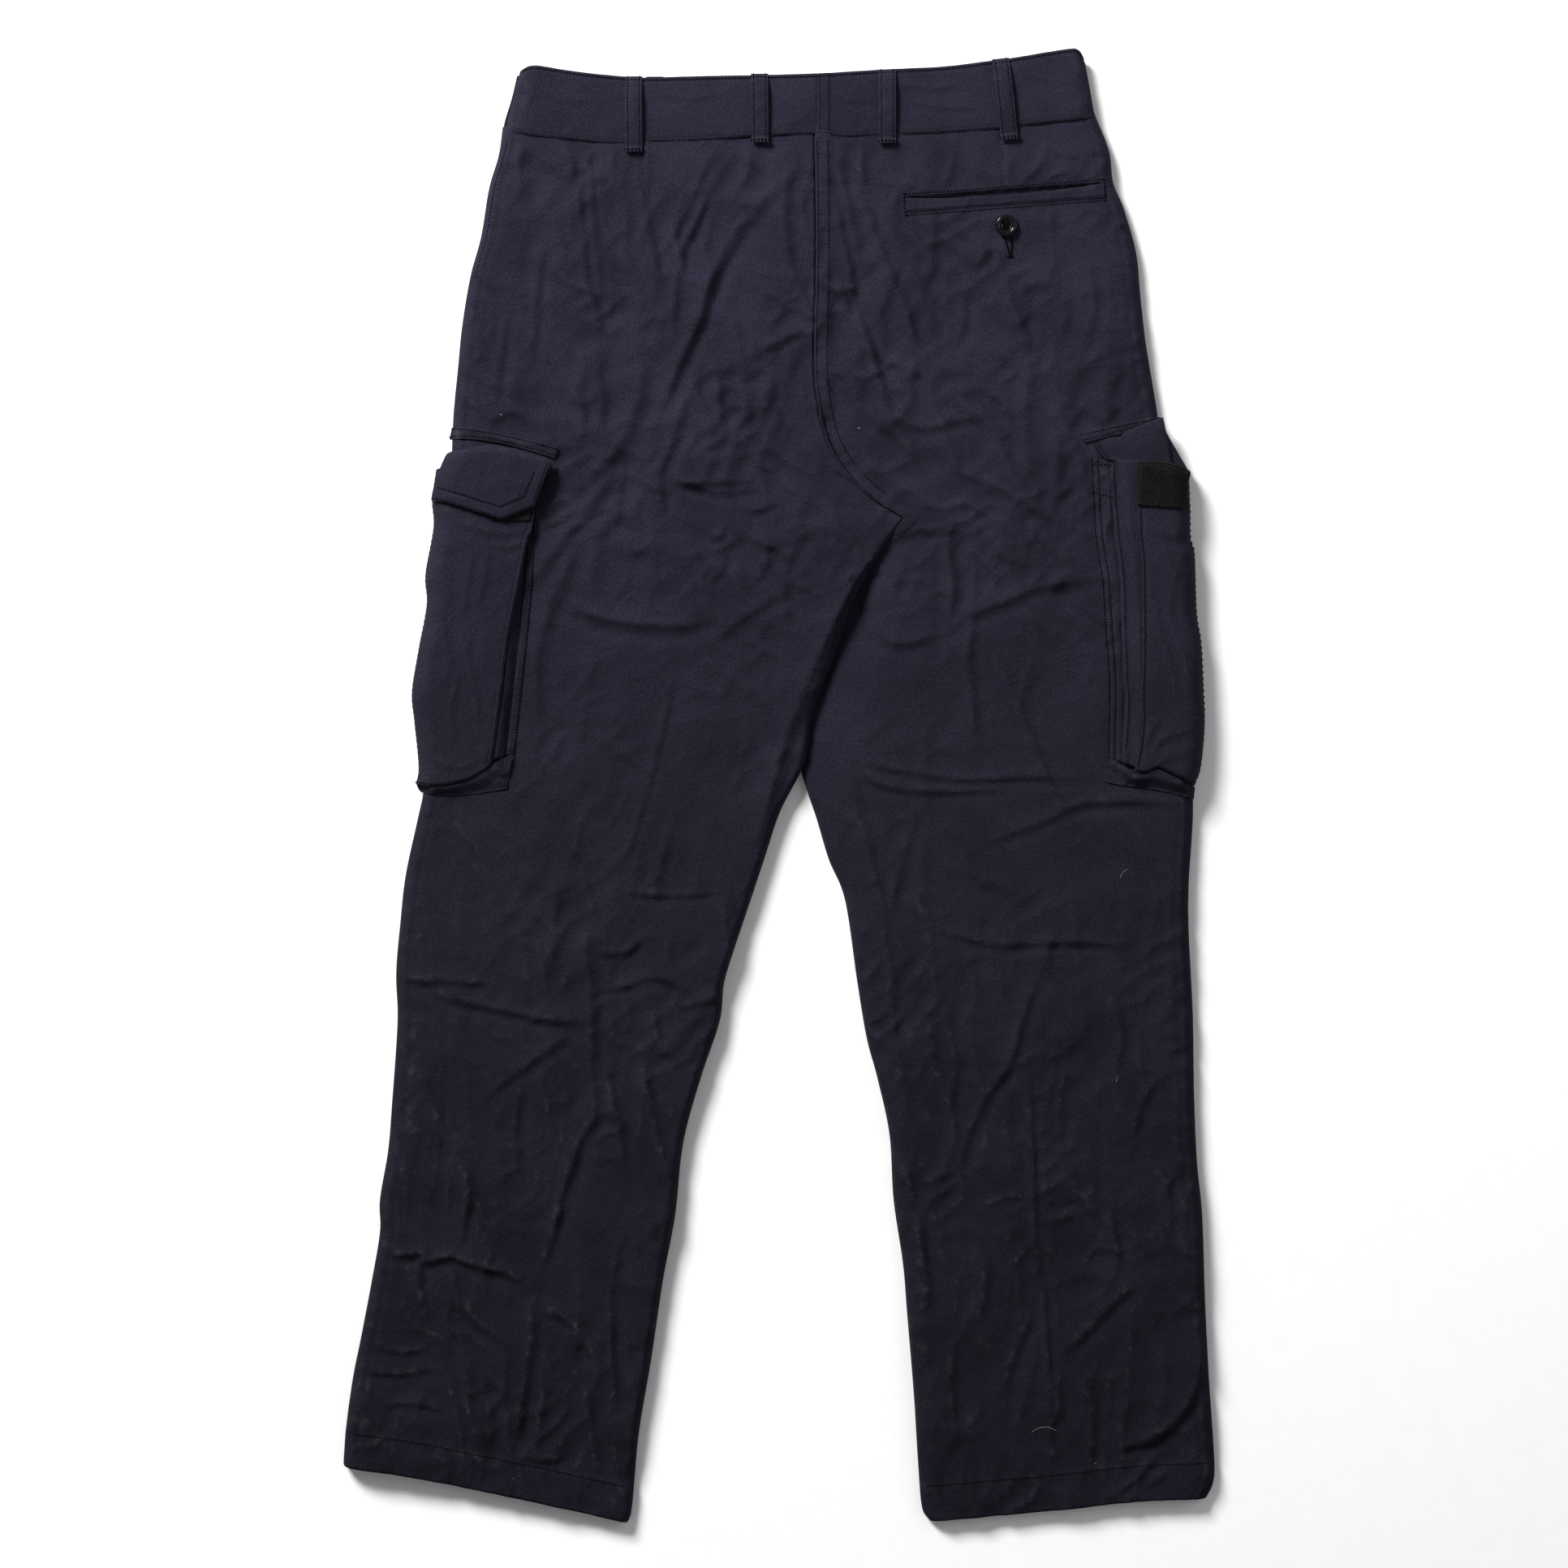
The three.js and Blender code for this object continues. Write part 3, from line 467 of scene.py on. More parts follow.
# ---- back pocket frame
WELT_MID = (141, 91.5)
WELT_TILT = math.radians(4.3)
WELT_WIDTH, WELT_HEIGHT = 149.0, 15.6
SLIT_GAP = 4.2


def welt_place(a, d):
    """Along and below the middle of the back pocket's welt."""
    x, y = a - WELT_MID[0], d - WELT_MID[1]
    c, s = math.cos(WELT_TILT), math.sin(WELT_TILT)
    return x * c - y * s, x * s + y * c


def from_welt(u, v):
    c, s = math.cos(WELT_TILT), math.sin(WELT_TILT)
    return WELT_MID[0] + u * c + v * s, WELT_MID[1] - u * s + v * c


def slit_depth(a, d):
    """How far the panel is folded in at the back pocket's mouth, 0 to 1."""
    u, v = welt_place(a, d)
    half = WELT_WIDTH / 2 - 1.5
    gap = SLIT_GAP * (1 - (u / (half * 1.03)) ** 2)
    upper = -WELT_HEIGHT / 2 + 2.2 + 0.5 * (u / half) ** 2
    return ease(half, half - 2, np.abs(u)) * ease(upper - 0.4, upper + 0.5, v) * ease(upper + gap + 5.0,
        upper + gap + 3.5, v)


# ---- meshes
def to_model(a, d, z):
    return np.stack([SEAM_X + np.asarray(a) * MM, WAIST_Y - np.asarray(d) * MM, np.asarray(z) * MM], -1)


def mesh_piece(name, verts, faces, material, uv=None, wear=None):
    """A finished mesh object at the origin, with its cloth map and its mask of rubbing and painted
    highlight.
    """
    mesh = bpy.data.meshes.new(name)
    mesh.from_pydata(np.asarray(verts).tolist(), [], faces)
    if uv is not None:
        at = np.zeros(len(mesh.loops), int)
        mesh.loops.foreach_get("vertex_index", at)
        mesh.uv_layers.new(name="Cloth").data.foreach_set("uv", np.asarray(uv)[at].ravel())
    if wear is not None:
        mesh.attributes.new("wear", "FLOAT", "POINT").data.foreach_set("value", np.asarray(wear,
            np.float32).ravel())
    mesh.polygons.foreach_set("use_smooth", [True] * len(mesh.polygons))
    mesh.materials.append(material)
    mesh.validate()
    mesh.update()
    piece = bpy.data.objects.new(name, mesh)
    bpy.context.scene.collection.objects.link(piece)
    return piece


def cloth(name, net, z, material, thick=0.7, wear=None, start=(0.0, 0.0), coarse=1):
    """A sheet of cloth with a real thickness over a net of places. Its map is in metres of cloth."""
    p = to_model(net[..., 0], net[..., 1], z)
    rows, cols = p.shape[:2]
    normal = np.cross(np.gradient(p, axis=0), np.gradient(p, axis=1))
    normal /= np.maximum(np.linalg.norm(normal, axis=2, keepdims=True), 1e-12)
    under = p - normal * (np.broadcast_to(thick, z.shape)[..., None] * MM)
    runs_u = np.cumsum(np.r_[0, np.linalg.norm(np.diff(p, axis=1), axis=2).mean(0)])
    runs_v = np.cumsum(np.r_[0, np.linalg.norm(np.diff(p, axis=0), axis=2).mean(1)])
    uu, vv = np.meshgrid(runs_u - runs_u.mean() + start[0] * MM, runs_v + start[1] * MM)
    uv = np.stack([uu, -vv], -1).reshape(-1, 2)
    n = rows * cols
    i = np.arange(n).reshape(rows, cols)
    keep_r, keep_c = [np.unique(np.r_[np.arange(0, k, coarse), k - 1]) for k in (rows, cols)]
    low = i[np.ix_(keep_r, keep_c)]
    j = n + np.arange(low.size).reshape(low.shape)
    quads = lambda g: np.stack([g[:-1, :-1], g[1:, :-1], g[1:, 1:], g[:-1, 1:]], -1).reshape(-1, 4)
    faces = quads(i).tolist() + quads(j)[:, ::-1].tolist()
    for fine, under_row, at, forward in ((i[0], j[0], keep_c, True), (i[-1], j[-1], keep_c, False),
            (i[:, 0], j[:, 0], keep_r, False), (i[:, -1], j[:, -1], keep_r, True)):
        for k in range(len(at) - 1):
            side = list(fine[at[k]:at[k + 1] + 1]) + [under_row[k + 1], under_row[k]]
            faces.append([int(q) for q in (side if forward else side[::-1])])
    w = np.zeros(n) if wear is None else np.clip(np.asarray(wear), 0, 1).ravel()
    low = low.ravel()
    piece = mesh_piece(name, np.vstack([p.reshape(-1, 3), under.reshape(-1, 3)[low]]), faces, material,
        np.vstack([uv, uv[low]]), np.r_[w, w[low]])
    steps_u = np.linalg.norm(np.diff(p, axis=1), axis=2).sum(1)
    steps_v = np.linalg.norm(np.diff(p, axis=0), axis=2).sum(0)
    cells = np.linalg.norm(np.cross(p[1:, 1:] - p[:-1, :-1], p[1:, :-1] - p[:-1, 1:]), axis=2) / 2
    piece["flat"] = [float(steps_u.max()), float(steps_v.max()), float(cells.sum())]
    return piece


def declare(piece):
    """Takes the piece's flat measures off it and works out a sheet size from them, which is not kept."""
    wide, long, area = piece["flat"]
    del piece["flat"]
    area = min(max(area, 0.31 * wide * long), wide * long)
    max(wide, 0.0101)
    max(long, 0.0101)


# Rubbed places: strength, half width, then across and down of each point.
MARKS = [
    (0.9, 1.2, 196, 168, 199, 158, 208, 148, 214, 143),
    (0.8, 1.2, 222, 164, 234, 169, 240, 172),
    (0.5, 9, 252, 660, 262, 676, 266, 690),
    (0.5, 5, -296, 700, -298, 740, -300, 780),
    (0.5, 4, -70, 760, -84, 800, -92, 850),
    (0.5, 4, -340, 940, -336, 980, -338, 1010),
    (0.6, 3, -218, 1030, -216, 1050),
    (0.6, 4, -330, 1012, -300, 1016, -250, 1022),
    (0.6, 4, -150, 990, -148, 1030, -146, 1060),
    (0.5, 3, 72, 860, 78, 910, 82, 960),
    (0.5, 4, 200, 1030, 240, 1026, 286, 1020),
    (0.4, 4, 120, 860, 118, 900, 126, 940),
]


def marks(a, d):
    """Extra scuffing at the rubbed places."""
    out = np.zeros(a.shape)
    for strength, wide, *run in MARKS:
        p = np.reshape(run, (-1, 2)).astype(float)
        reach = 3 * wide
        near = ((a > p[:, 0].min() - reach) & (a < p[:, 0].max() + reach) & (d > p[:, 1].min()
            - reach) & (d < p[:, 1].max() + reach))
        if near.any():
            out[near] += strength * bell(nearest(curve(p))(a[near], d[near]), wide)
    return out


def worn(z, gain=0.45):
    """Rubbing where the cloth stands above its surroundings."""
    soft = z.copy()
    for _ in range(5):
        pad = np.pad(soft, 1, mode="edge")
        soft = (pad[:-2, 1:-1] + pad[2:, 1:-1] + pad[1:-1, :-2] + pad[1:-1, 2:] + soft) / 5
    return np.clip((z - soft) * gain * 4, 0, 1)


# ---- shading
def put(tree, kind, settings=None, **inputs):
    """A node with its settings and its inputs, each a value or a socket to link from."""
    node = tree.nodes.new(kind)
    for key, value in (settings or {}).items():
        setattr(node, key, value)
    for key, value in inputs.items():
        socket = node.inputs[int(key[1:])] if key[1:].isdigit() else node.inputs[key.replace("_", " ")]
        if isinstance(value, bpy.types.NodeSocket):
            tree.links.new(value, socket)
        else:
            socket.default_value = value
    return node


def made(tree, kind, settings=None, **inputs):
    """What such a node gives at its first socket."""
    return put(tree, kind, settings, **inputs).outputs[0]


def sums(tree, operation, a, b=0.0, clamp=False):
    """One Math node's result."""
    return made(tree, "ShaderNodeMath", {"operation": operation, "use_clamp": clamp}, _0=a, _1=b)


def blend_colour(tree, share, a, b, kind="MIX"):
    return put(tree, "ShaderNodeMix", {"data_type": "RGBA", "blend_type": kind}, _0=share, _6=a,
        _7=b).outputs[2]


def ramp(tree, value, low, high, to_low=0.0, to_high=1.0):
    return made(tree, "ShaderNodeMapRange", {"interpolation_type": "SMOOTHSTEP"}, Value=value,
        From_Min=low, From_Max=high, To_Min=to_low, To_Max=to_high)


def group(name, inputs, outputs):
    """A new shader node group with its sockets, each (name, kind, default)."""
    tree = bpy.data.node_groups.new(name, "ShaderNodeTree")
    for label, kind, default in inputs:
        socket = tree.interface.new_socket(label, in_out="INPUT", socket_type="NodeSocket" + kind)
        if default is not None:
            socket.default_value = default
    for label, kind in outputs:
        tree.interface.new_socket(label, in_out="OUTPUT", socket_type="NodeSocket" + kind)
    return tree, tree.nodes.new("NodeGroupInput").outputs, tree.nodes.new("NodeGroupOutput").inputs


def use(tree, name, **inputs):
    return put(tree, "ShaderNodeGroup", {"node_tree": bpy.data.node_groups[name]}, **inputs).outputs


def weave_group():
    """Steep twill: fine diagonal ribs broken into yarns."""
    tree, given, result = group("Twill weave", [("Place", "Vector", None), ("Pitch", "Float", 0.0009),
        ("Turn", "Float", 1.1)], [("Height", "Float"), ("Shade", "Float")])
    turned = made(tree, "ShaderNodeVectorRotate", {"rotation_type": "Z_AXIS"}, Vector=given["Place"],
        Angle=given["Turn"])
    scale = sums(tree, "DIVIDE", 0.31416, given["Pitch"])
    ribs = put(tree, "ShaderNodeTexWave", {"wave_type": "BANDS", "bands_direction": "X"}, Vector=turned,
        Scale=scale, Distortion=0.7, Detail=2.0, Detail_Scale=0.35).outputs["Fac"]
    yarn = put(tree, "ShaderNodeTexWave", {"wave_type": "BANDS", "bands_direction": "X"},
        Vector=given["Place"], Scale=sums(tree, "MULTIPLY", scale, 1.4), Distortion=1.2, Detail=1.0,
        Detail_Scale=0.6).outputs["Fac"]
    slub = put(tree, "ShaderNodeTexNoise", Vector=given["Place"], Scale=900.0, Detail=2.0).outputs["Fac"]
    height = sums(tree, "ADD", sums(tree, "MULTIPLY", ribs, 0.65), sums(tree, "MULTIPLY", yarn, 0.2))
    height = sums(tree, "ADD", height, sums(tree, "MULTIPLY", slub, 0.3))
    tree.links.new(height, result["Height"])
    tree.links.new(ramp(tree, height, 0.2, 0.95, 0.86, 1.12), result["Shade"])


def mottle_group():
    """Cloudy fading at two sizes, with finer mottling in it."""
    tree, given, result = group("Mottled fading", [("Place", "Vector", None)], [("Cloud", "Float"),
        ("Fine", "Float")])
    cloud = put(tree, "ShaderNodeTexNoise", Vector=given["Place"], Scale=16.0, Detail=5.0,
        Roughness=0.55).outputs["Fac"]
    stretch = made(tree, "ShaderNodeMapping", Vector=given["Place"], Scale=(1.0, 0.75, 1.0))
    fine = put(tree, "ShaderNodeTexNoise", Vector=stretch, Scale=620.0, Detail=3.0,
        Roughness=0.6).outputs["Fac"]
    tree.links.new(ramp(tree, cloud, 0.3, 0.7), result["Cloud"])
    tree.links.new(ramp(tree, fine, 0.3, 0.72), result["Fine"])


def scuff_and_highlight_group():
    """Dusty rubbing on raised cloth and painted highlight on edges and seams, broken up by streaks and
    specks.
    """
    tree, given, result = group("Scuffs and highlights", [("Place", "Vector", None), ("Wear", "Float", 0.0),
        ("Amount", "Float", 1.0)], [("Mask", "Float"), ("Lint", "Float")])
    streak = put(tree, "ShaderNodeTexNoise", Vector=given["Place"], Scale=95.0, Detail=8.0,
        Roughness=0.75).outputs["Fac"]
    broken = ramp(tree, streak, 0.47, 0.68)
    rub = sums(tree, "MULTIPLY", given["Wear"], broken)
    dust = sums(tree, "MULTIPLY", ramp(tree, streak, 0.6, 0.85), 0.12)
    tree.links.new(sums(tree, "MULTIPLY", sums(tree, "ADD", rub, dust), given["Amount"], clamp=True),
        result["Mask"])
    cells = put(tree, "ShaderNodeTexVoronoi", {"feature": "F1"}, Vector=given["Place"], Scale=42.0,
        Randomness=1.0)
    dot = ramp(tree, cells.outputs["Distance"], 0.022, 0.014)
    pick = made(tree, "ShaderNodeSeparateColor", Color=cells.outputs["Color"])
    tree.links.new(sums(tree, "MULTIPLY", dot, ramp(tree, pick, 0.955, 0.965)), result["Lint"])


def base_material(name):
    material = bpy.data.materials.new(name)
    material.use_nodes = True
    tree = material.node_tree
    tree.nodes.clear()
    shader = tree.nodes.new("ShaderNodeBsdfPrincipled")
    out = tree.nodes.new("ShaderNodeOutputMaterial")
    tree.links.new(shader.outputs[0], out.inputs[0])
    return material, tree, shader


def constants(shader, **values):
    for key, value in values.items():
        shader.inputs[key.replace("_", " ")].default_value = value


def cloth_material(name, finish, dark=1.0, weave=0.0009, scuff_and_highlight=1.0, mapped=True):
    """Dyed cotton twill: painted light, lighter at the waist and darker at the hems; dusty folds; painted
    highlight on seams.
    """
    material, tree, shader = base_material(name)
    if mapped:
        place = made(tree, "ShaderNodeUVMap", {"uv_map": "Cloth"})
        wear = put(tree, "ShaderNodeAttribute", {"attribute_name": "wear"}).outputs["Fac"]
    else:
        place = put(tree, "ShaderNodeTexCoord").outputs["Object"]
        wear = 0.0
    woven = use(tree, "Twill weave", Place=place, Pitch=weave)
    mottle = use(tree, "Mottled fading", Place=place)
    scuffs_and_highlights = use(tree, "Scuffs and highlights", Place=place, Wear=wear, Amount=scuff_and_highlight)
    low = put(tree, "ShaderNodeSeparateXYZ", Vector=place).outputs[1]
    # Painted light: the colour runs from the darker hem colour to the lighter waist colour along the
    # cloth, standing in for the key light over the waist falling off towards the hems.
    if mapped:
        painted_light_share = ramp(tree, low, -1.05, 0.05)
    else:
        painted_light_share = ramp(tree, low, -0.55, 0.55)
    hem_dye_painted_shade = tuple(c * dark for c in finish.cloth_painted_shade_at_hems) + (1,)
    waist_dye_painted_light = tuple(c * dark for c in finish.cloth_painted_light_at_waist) + (1,)
    colour = blend_colour(tree, painted_light_share, hem_dye_painted_shade, waist_dye_painted_light)
    colour = blend_colour(tree, ramp(tree, mottle["Cloud"], 0.2, 0.8, 0.0, 0.6), colour, (1.06, 0.97, 1.0,
        1), "MULTIPLY")
    shade = sums(tree, "MULTIPLY", ramp(tree, mottle["Cloud"], 0, 1, 0.88, 1.1),
        ramp(tree, mottle["Fine"], 0, 1, 0.8, 1.2))
    shade = sums(tree, "MULTIPLY", shade, woven["Shade"])
    colour = blend_colour(tree, 1.0, colour, made(tree, "ShaderNodeCombineColor", Red=shade, Green=shade,
        Blue=shade), "MULTIPLY")
    # The scuff colour over the mask paints dusty rubbing, and painted highlight along edges and seams.
    colour = blend_colour(tree, sums(tree, "MULTIPLY", scuffs_and_highlights["Mask"], 0.75), colour, tuple(finish.scuff_and_highlight)
        + (1,))
    colour = blend_colour(tree, scuffs_and_highlights["Lint"], colour, tuple(finish.lint) + (1,))
    tree.links.new(colour, shader.inputs["Base Color"])
    tree.links.new(ramp(tree, scuffs_and_highlights["Mask"], 0, 1, 0.86, 0.97), shader.inputs["Roughness"])
    height = sums(tree, "ADD", sums(tree, "MULTIPLY", woven["Height"], 0.35), sums(tree, "MULTIPLY",
        mottle["Fine"], 0.9))
    rumple = put(tree, "ShaderNodeTexNoise", {"noise_type": "RIDGED_MULTIFRACTAL"}, Vector=place,
        Scale=38.0, Detail=3.0, Roughness=0.5, Lacunarity=2.2, Offset=0.9, Gain=1.6,
        Distortion=0.35).outputs["Fac"]
    soft = put(tree, "ShaderNodeBump", Strength=1.0, Distance=0.00035, Height=rumple)
    bump = put(tree, "ShaderNodeBump", Strength=0.55, Distance=0.00022, Height=height,
        Normal=soft.outputs[0])
    tree.links.new(bump.outputs[0], shader.inputs["Normal"])
    constants(shader, Specular_IOR_Level=0.03, Sheen_Weight=0.015, Sheen_Roughness=0.45,
        Sheen_Tint=tuple(finish.sheen) + (1,))
    return material


def plain_material(name, colour, rough, grain, bump_depth, metal=0.0, coat=0.0, specular=0.5, vary=0.12):
    """Thread, plastic or metal with fine grain in its colour, gloss and surface."""
    material, tree, shader = base_material(name)
    place = put(tree, "ShaderNodeTexCoord").outputs["Object"]
    speck = put(tree, "ShaderNodeTexNoise", Vector=place, Scale=grain, Detail=4.0).outputs["Fac"]
    wide = put(tree, "ShaderNodeTexNoise", Vector=place, Scale=grain / 9, Detail=3.0).outputs["Fac"]
    shade = sums(tree, "MULTIPLY", ramp(tree, speck, 0.3, 0.7, 1 - vary, 1 + vary), ramp(tree, wide, 0.3,
        0.7, 1 - vary, 1 + vary))
    tint = blend_colour(tree, 1.0, tuple(colour) + (1,), made(tree, "ShaderNodeCombineColor", Red=shade,
        Green=shade, Blue=shade), "MULTIPLY")
    tree.links.new(tint, shader.inputs["Base Color"])
    tree.links.new(ramp(tree, speck, 0.3, 0.7, rough * 0.85, min(1.0, rough * 1.15)),
        shader.inputs["Roughness"])
    bump = put(tree, "ShaderNodeBump", Strength=0.6, Distance=bump_depth, Height=speck)
    tree.links.new(bump.outputs[0], shader.inputs["Normal"])
    constants(shader, Metallic=metal, Coat_Weight=coat, Coat_Roughness=0.12, Specular_IOR_Level=specular)
    return material


MATERIALS = {}


def material(kind):
    """The finish of that name, made when it is first wanted."""
    finish = bpy.context.scene.trouser_finish
    if not bpy.data.node_groups.get("Twill weave"):
        weave_group()
        mottle_group()
        scuff_and_highlight_group()
    if kind not in MATERIALS:
        # The sewing thread material takes the thread colour, which is painted shade of the needle holes.
        MATERIALS[kind] = {"twill": lambda: cloth_material("Navy twill", finish),
            "folded": lambda: cloth_material("Navy twill, folded edges", finish, 0.96, scuff_and_highlight=1.3),
            "pocketing": lambda: cloth_material("Black pocketing", finish, 0.55, 0.0006, 0.3, False),
            "solid_twill": lambda: cloth_material("Navy twill, inside", finish, 0.8, scuff_and_highlight=0.5,
            mapped=False), "thread": lambda: plain_material("Sewing thread painted dark as shade", finish.thread, 0.8, 4200,
            0.00006, specular=0.02, vary=0.2),
            "worked_thread": lambda: plain_material("Buttonhole thread", finish.button_thread, 0.8, 4200,
            0.00006, specular=0.05, vary=0.2), "pile": lambda: plain_material("Loop pile", finish.pile,
            0.85, 700, 0.00005, specular=0.2, vary=0.45), "tape": lambda: plain_material("Woven tape",
            finish.pile, 0.9, 1800, 0.0001, specular=0.12),
            "button": lambda: plain_material("Button plastic", finish.button, 0.16, 900, 0.00001,
            coat=0.0, specular=0.22, vary=0.15), "brass": lambda: plain_material("Aged brass",
            finish.brass, 0.38, 1500, 0.00002, metal=1.0, vary=0.2),
            "lint": lambda: plain_material("Lint", finish.lint, 0.9, 2000, 0.00001, specular=0.1)}[kind]()
    return MATERIALS[kind]


# ---- node trees
def tree_of(name, inputs):
    """A new Geometry Nodes tree with its named inputs."""
    tree = bpy.data.node_groups.new(name, "GeometryNodeTree")
    tree.interface.new_socket("Geometry", in_out="INPUT", socket_type="NodeSocketGeometry")
    for label, kind, default in inputs:
        socket = tree.interface.new_socket(label, in_out="INPUT", socket_type="NodeSocket" + kind)
        if default is not None:
            socket.default_value = default
    tree.interface.new_socket("Geometry", in_out="OUTPUT", socket_type="NodeSocketGeometry")
    return tree, tree.nodes.new("NodeGroupInput").outputs, tree.nodes.new("NodeGroupOutput").inputs


def chance_turn(tree, low, high, seed):
    """A turn picked by chance between two, each place its own."""
    pick = put(tree, "FunctionNodeRandomValue", {"data_type": "FLOAT_VECTOR"}, Seed=seed)
    tree.links.new(low, pick.inputs[0])
    tree.links.new(high, pick.inputs[1])
    return made(tree, "FunctionNodeEulerToRotation", Euler=pick.outputs[0])


def stitch_tree():
    """Lays thread stitches along every line it is given."""
    if bpy.data.node_groups.get("Stitches"):
        return bpy.data.node_groups["Stitches"]
    tree, given, result = tree_of("Stitches", [("Pitch", "Float", 0.003), ("Length", "Float", 0.0022),
        ("Width", "Float", 0.0005), ("Slack", "Float", 0.08), ("Seed", "Int", 4), ("Material", "Material",
        None)])
    lines = made(tree, "GeometryNodeMeshToCurve", Mesh=given["Geometry"])
    even = made(tree, "GeometryNodeResampleCurve", {"mode": "LENGTH"}, Curve=lines, Length=given["Pitch"])
    knot = made(tree, "GeometryNodeMeshUVSphere", Segments=6, Rings=5, Radius=0.5)
    size = made(tree, "ShaderNodeCombineXYZ", X=given["Length"], Y=given["Width"], Z=given["Width"])
    shaped = made(tree, "GeometryNodeTransform", Geometry=knot, Scale=size)
    heading = made(tree, "GeometryNodeInputTangent")
    turn = made(tree, "FunctionNodeAlignRotationToVector", {"axis": "X", "pivot_axis": "Z"},
        Vector=heading)
    skew = chance_turn(tree, made(tree, "ShaderNodeCombineXYZ", Z=sums(tree, "MULTIPLY", given["Slack"],
        -1.0)), made(tree, "ShaderNodeCombineXYZ", Z=given["Slack"]), given["Seed"])
    turned = made(tree, "FunctionNodeRotateRotation", {"rotation_space": "LOCAL"}, Rotation=turn,
        Rotate_By=skew)
    rows = made(tree, "GeometryNodeInstanceOnPoints", Points=even, Instance=shaped, Rotation=turned)
    real = made(tree, "GeometryNodeRealizeInstances", Geometry=rows)
    shade = made(tree, "GeometryNodeSetShadeSmooth", Geometry=real)
    done = made(tree, "GeometryNodeSetMaterial", Geometry=shade, Material=given["Material"])
    tree.links.new(done, result[0])
    return tree


def pile_tree():
    """Covers a surface in small fibres: bent loops or short upright hooks."""
    if bpy.data.node_groups.get("Pile"):
        return bpy.data.node_groups["Pile"]
    tree, given, result = tree_of("Pile", [("Density", "Float", 900000.0), ("Height", "Float", 0.0011),
        ("Thickness", "Float", 0.00016), ("Lean", "Float", 0.7), ("Seed", "Int", 9),
        ("Material", "Material", None)])
    spots = put(tree, "GeometryNodeDistributePointsOnFaces", Mesh=given["Geometry"],
        Density=given["Density"], Seed=given["Seed"])
    arc = made(tree, "GeometryNodeCurvePrimitiveBezierSegment", Resolution=5, Start=(-0.35, 0, 0),
        Start_Handle=(-0.6, 0.1, 1.2), End_Handle=(0.6, -0.1, 1.2), End=(0.35, 0, 0))
    ring = made(tree, "GeometryNodeCurvePrimitiveCircle", Resolution=3, Radius=0.5)
    bore = made(tree, "GeometryNodeTransform", Geometry=ring, Scale=made(tree, "ShaderNodeCombineXYZ",
        X=sums(tree, "DIVIDE", given["Thickness"], given["Height"]), Y=sums(tree, "DIVIDE",
        given["Thickness"], given["Height"]), Z=1.0))
    fibre = made(tree, "GeometryNodeCurveToMesh", Curve=arc, Profile_Curve=bore)
    back = made(tree, "ShaderNodeCombineXYZ", X=sums(tree, "MULTIPLY", given["Lean"], -1.0),
        Y=sums(tree, "MULTIPLY", given["Lean"], -1.0), Z=-3.1416)
    forth = made(tree, "ShaderNodeCombineXYZ", X=given["Lean"], Y=given["Lean"], Z=3.1416)
    turn = chance_turn(tree, back, forth, given["Seed"])
    field = made(tree, "GeometryNodeInstanceOnPoints", Points=spots.outputs[0], Instance=fibre,
        Rotation=turn, Scale=given["Height"])
    real = made(tree, "GeometryNodeRealizeInstances", Geometry=field)
    done = made(tree, "GeometryNodeSetMaterial", Geometry=real, Material=given["Material"])
    tree.links.new(done, result[0])
    return tree


def grown(name, tree, verts, edges, faces, **values):
    """Runs a node tree on a bare mesh and keeps what it makes as a plain mesh."""
    seed = bpy.data.meshes.new(name + "_guide")
    seed.from_pydata(np.asarray(verts).tolist(), edges, faces)
    guide = bpy.data.objects.new(name + "_guide", seed)
    bpy.context.scene.collection.objects.link(guide)
    modifier = guide.modifiers.new("Nodes", "NODES")
    modifier.node_group = tree
    sockets = {s.name: s.identifier for s in tree.interface.items_tree if s.item_type == "SOCKET"
        and s.in_out == "INPUT"}
    for key, value in values.items():
        modifier[sockets[key.replace("_", " ")]] = value
    ready = guide.evaluated_get(bpy.context.evaluated_depsgraph_get())
    mesh = bpy.data.meshes.new_from_object(ready)
    guide.modifiers.remove(modifier)
    bpy.data.objects.remove(guide)
    if not len(mesh.polygons):
        raise RuntimeError(name + ": its node tree made nothing")
    mesh.name = name
    if not mesh.materials:
        mesh.materials.append(values["Material"])
    piece = bpy.data.objects.new(name, mesh)
    bpy.context.scene.collection.objects.link(piece)
    return piece


STITCH_ROWS = {}


def sew(rows, points, height, step=1.5, lift=0.3):
    """Adds a line of stitching: places along the line, laid on that surface."""
    line = points if isinstance(points, np.ndarray) else curve(points)
    count = max(3, int(length_of(line) / step))
    line = along(line, np.linspace(0, 1, count))
    z = height(line[:, 0], line[:, 1]) + lift
    STITCH_ROWS.setdefault(rows, []).append(to_model(line[:, 0], line[:, 1], z))


def beside(edge, offset, low, high, count=120):
    """A line at that distance beside an edge, between two heights down the garment."""
    d = np.linspace(low, high, count)
    return np.column_stack([edge(d) + offset, d])


# ---- settings
def metres(name, about, size, **limits):
    return bpy.props.FloatProperty(name=name, description=about, default=size, unit="LENGTH", **limits)


def tone(name, about, mixed):
    return bpy.props.FloatVectorProperty(name=name, description=about, default=mixed, subtype="COLOR",
        size=3)


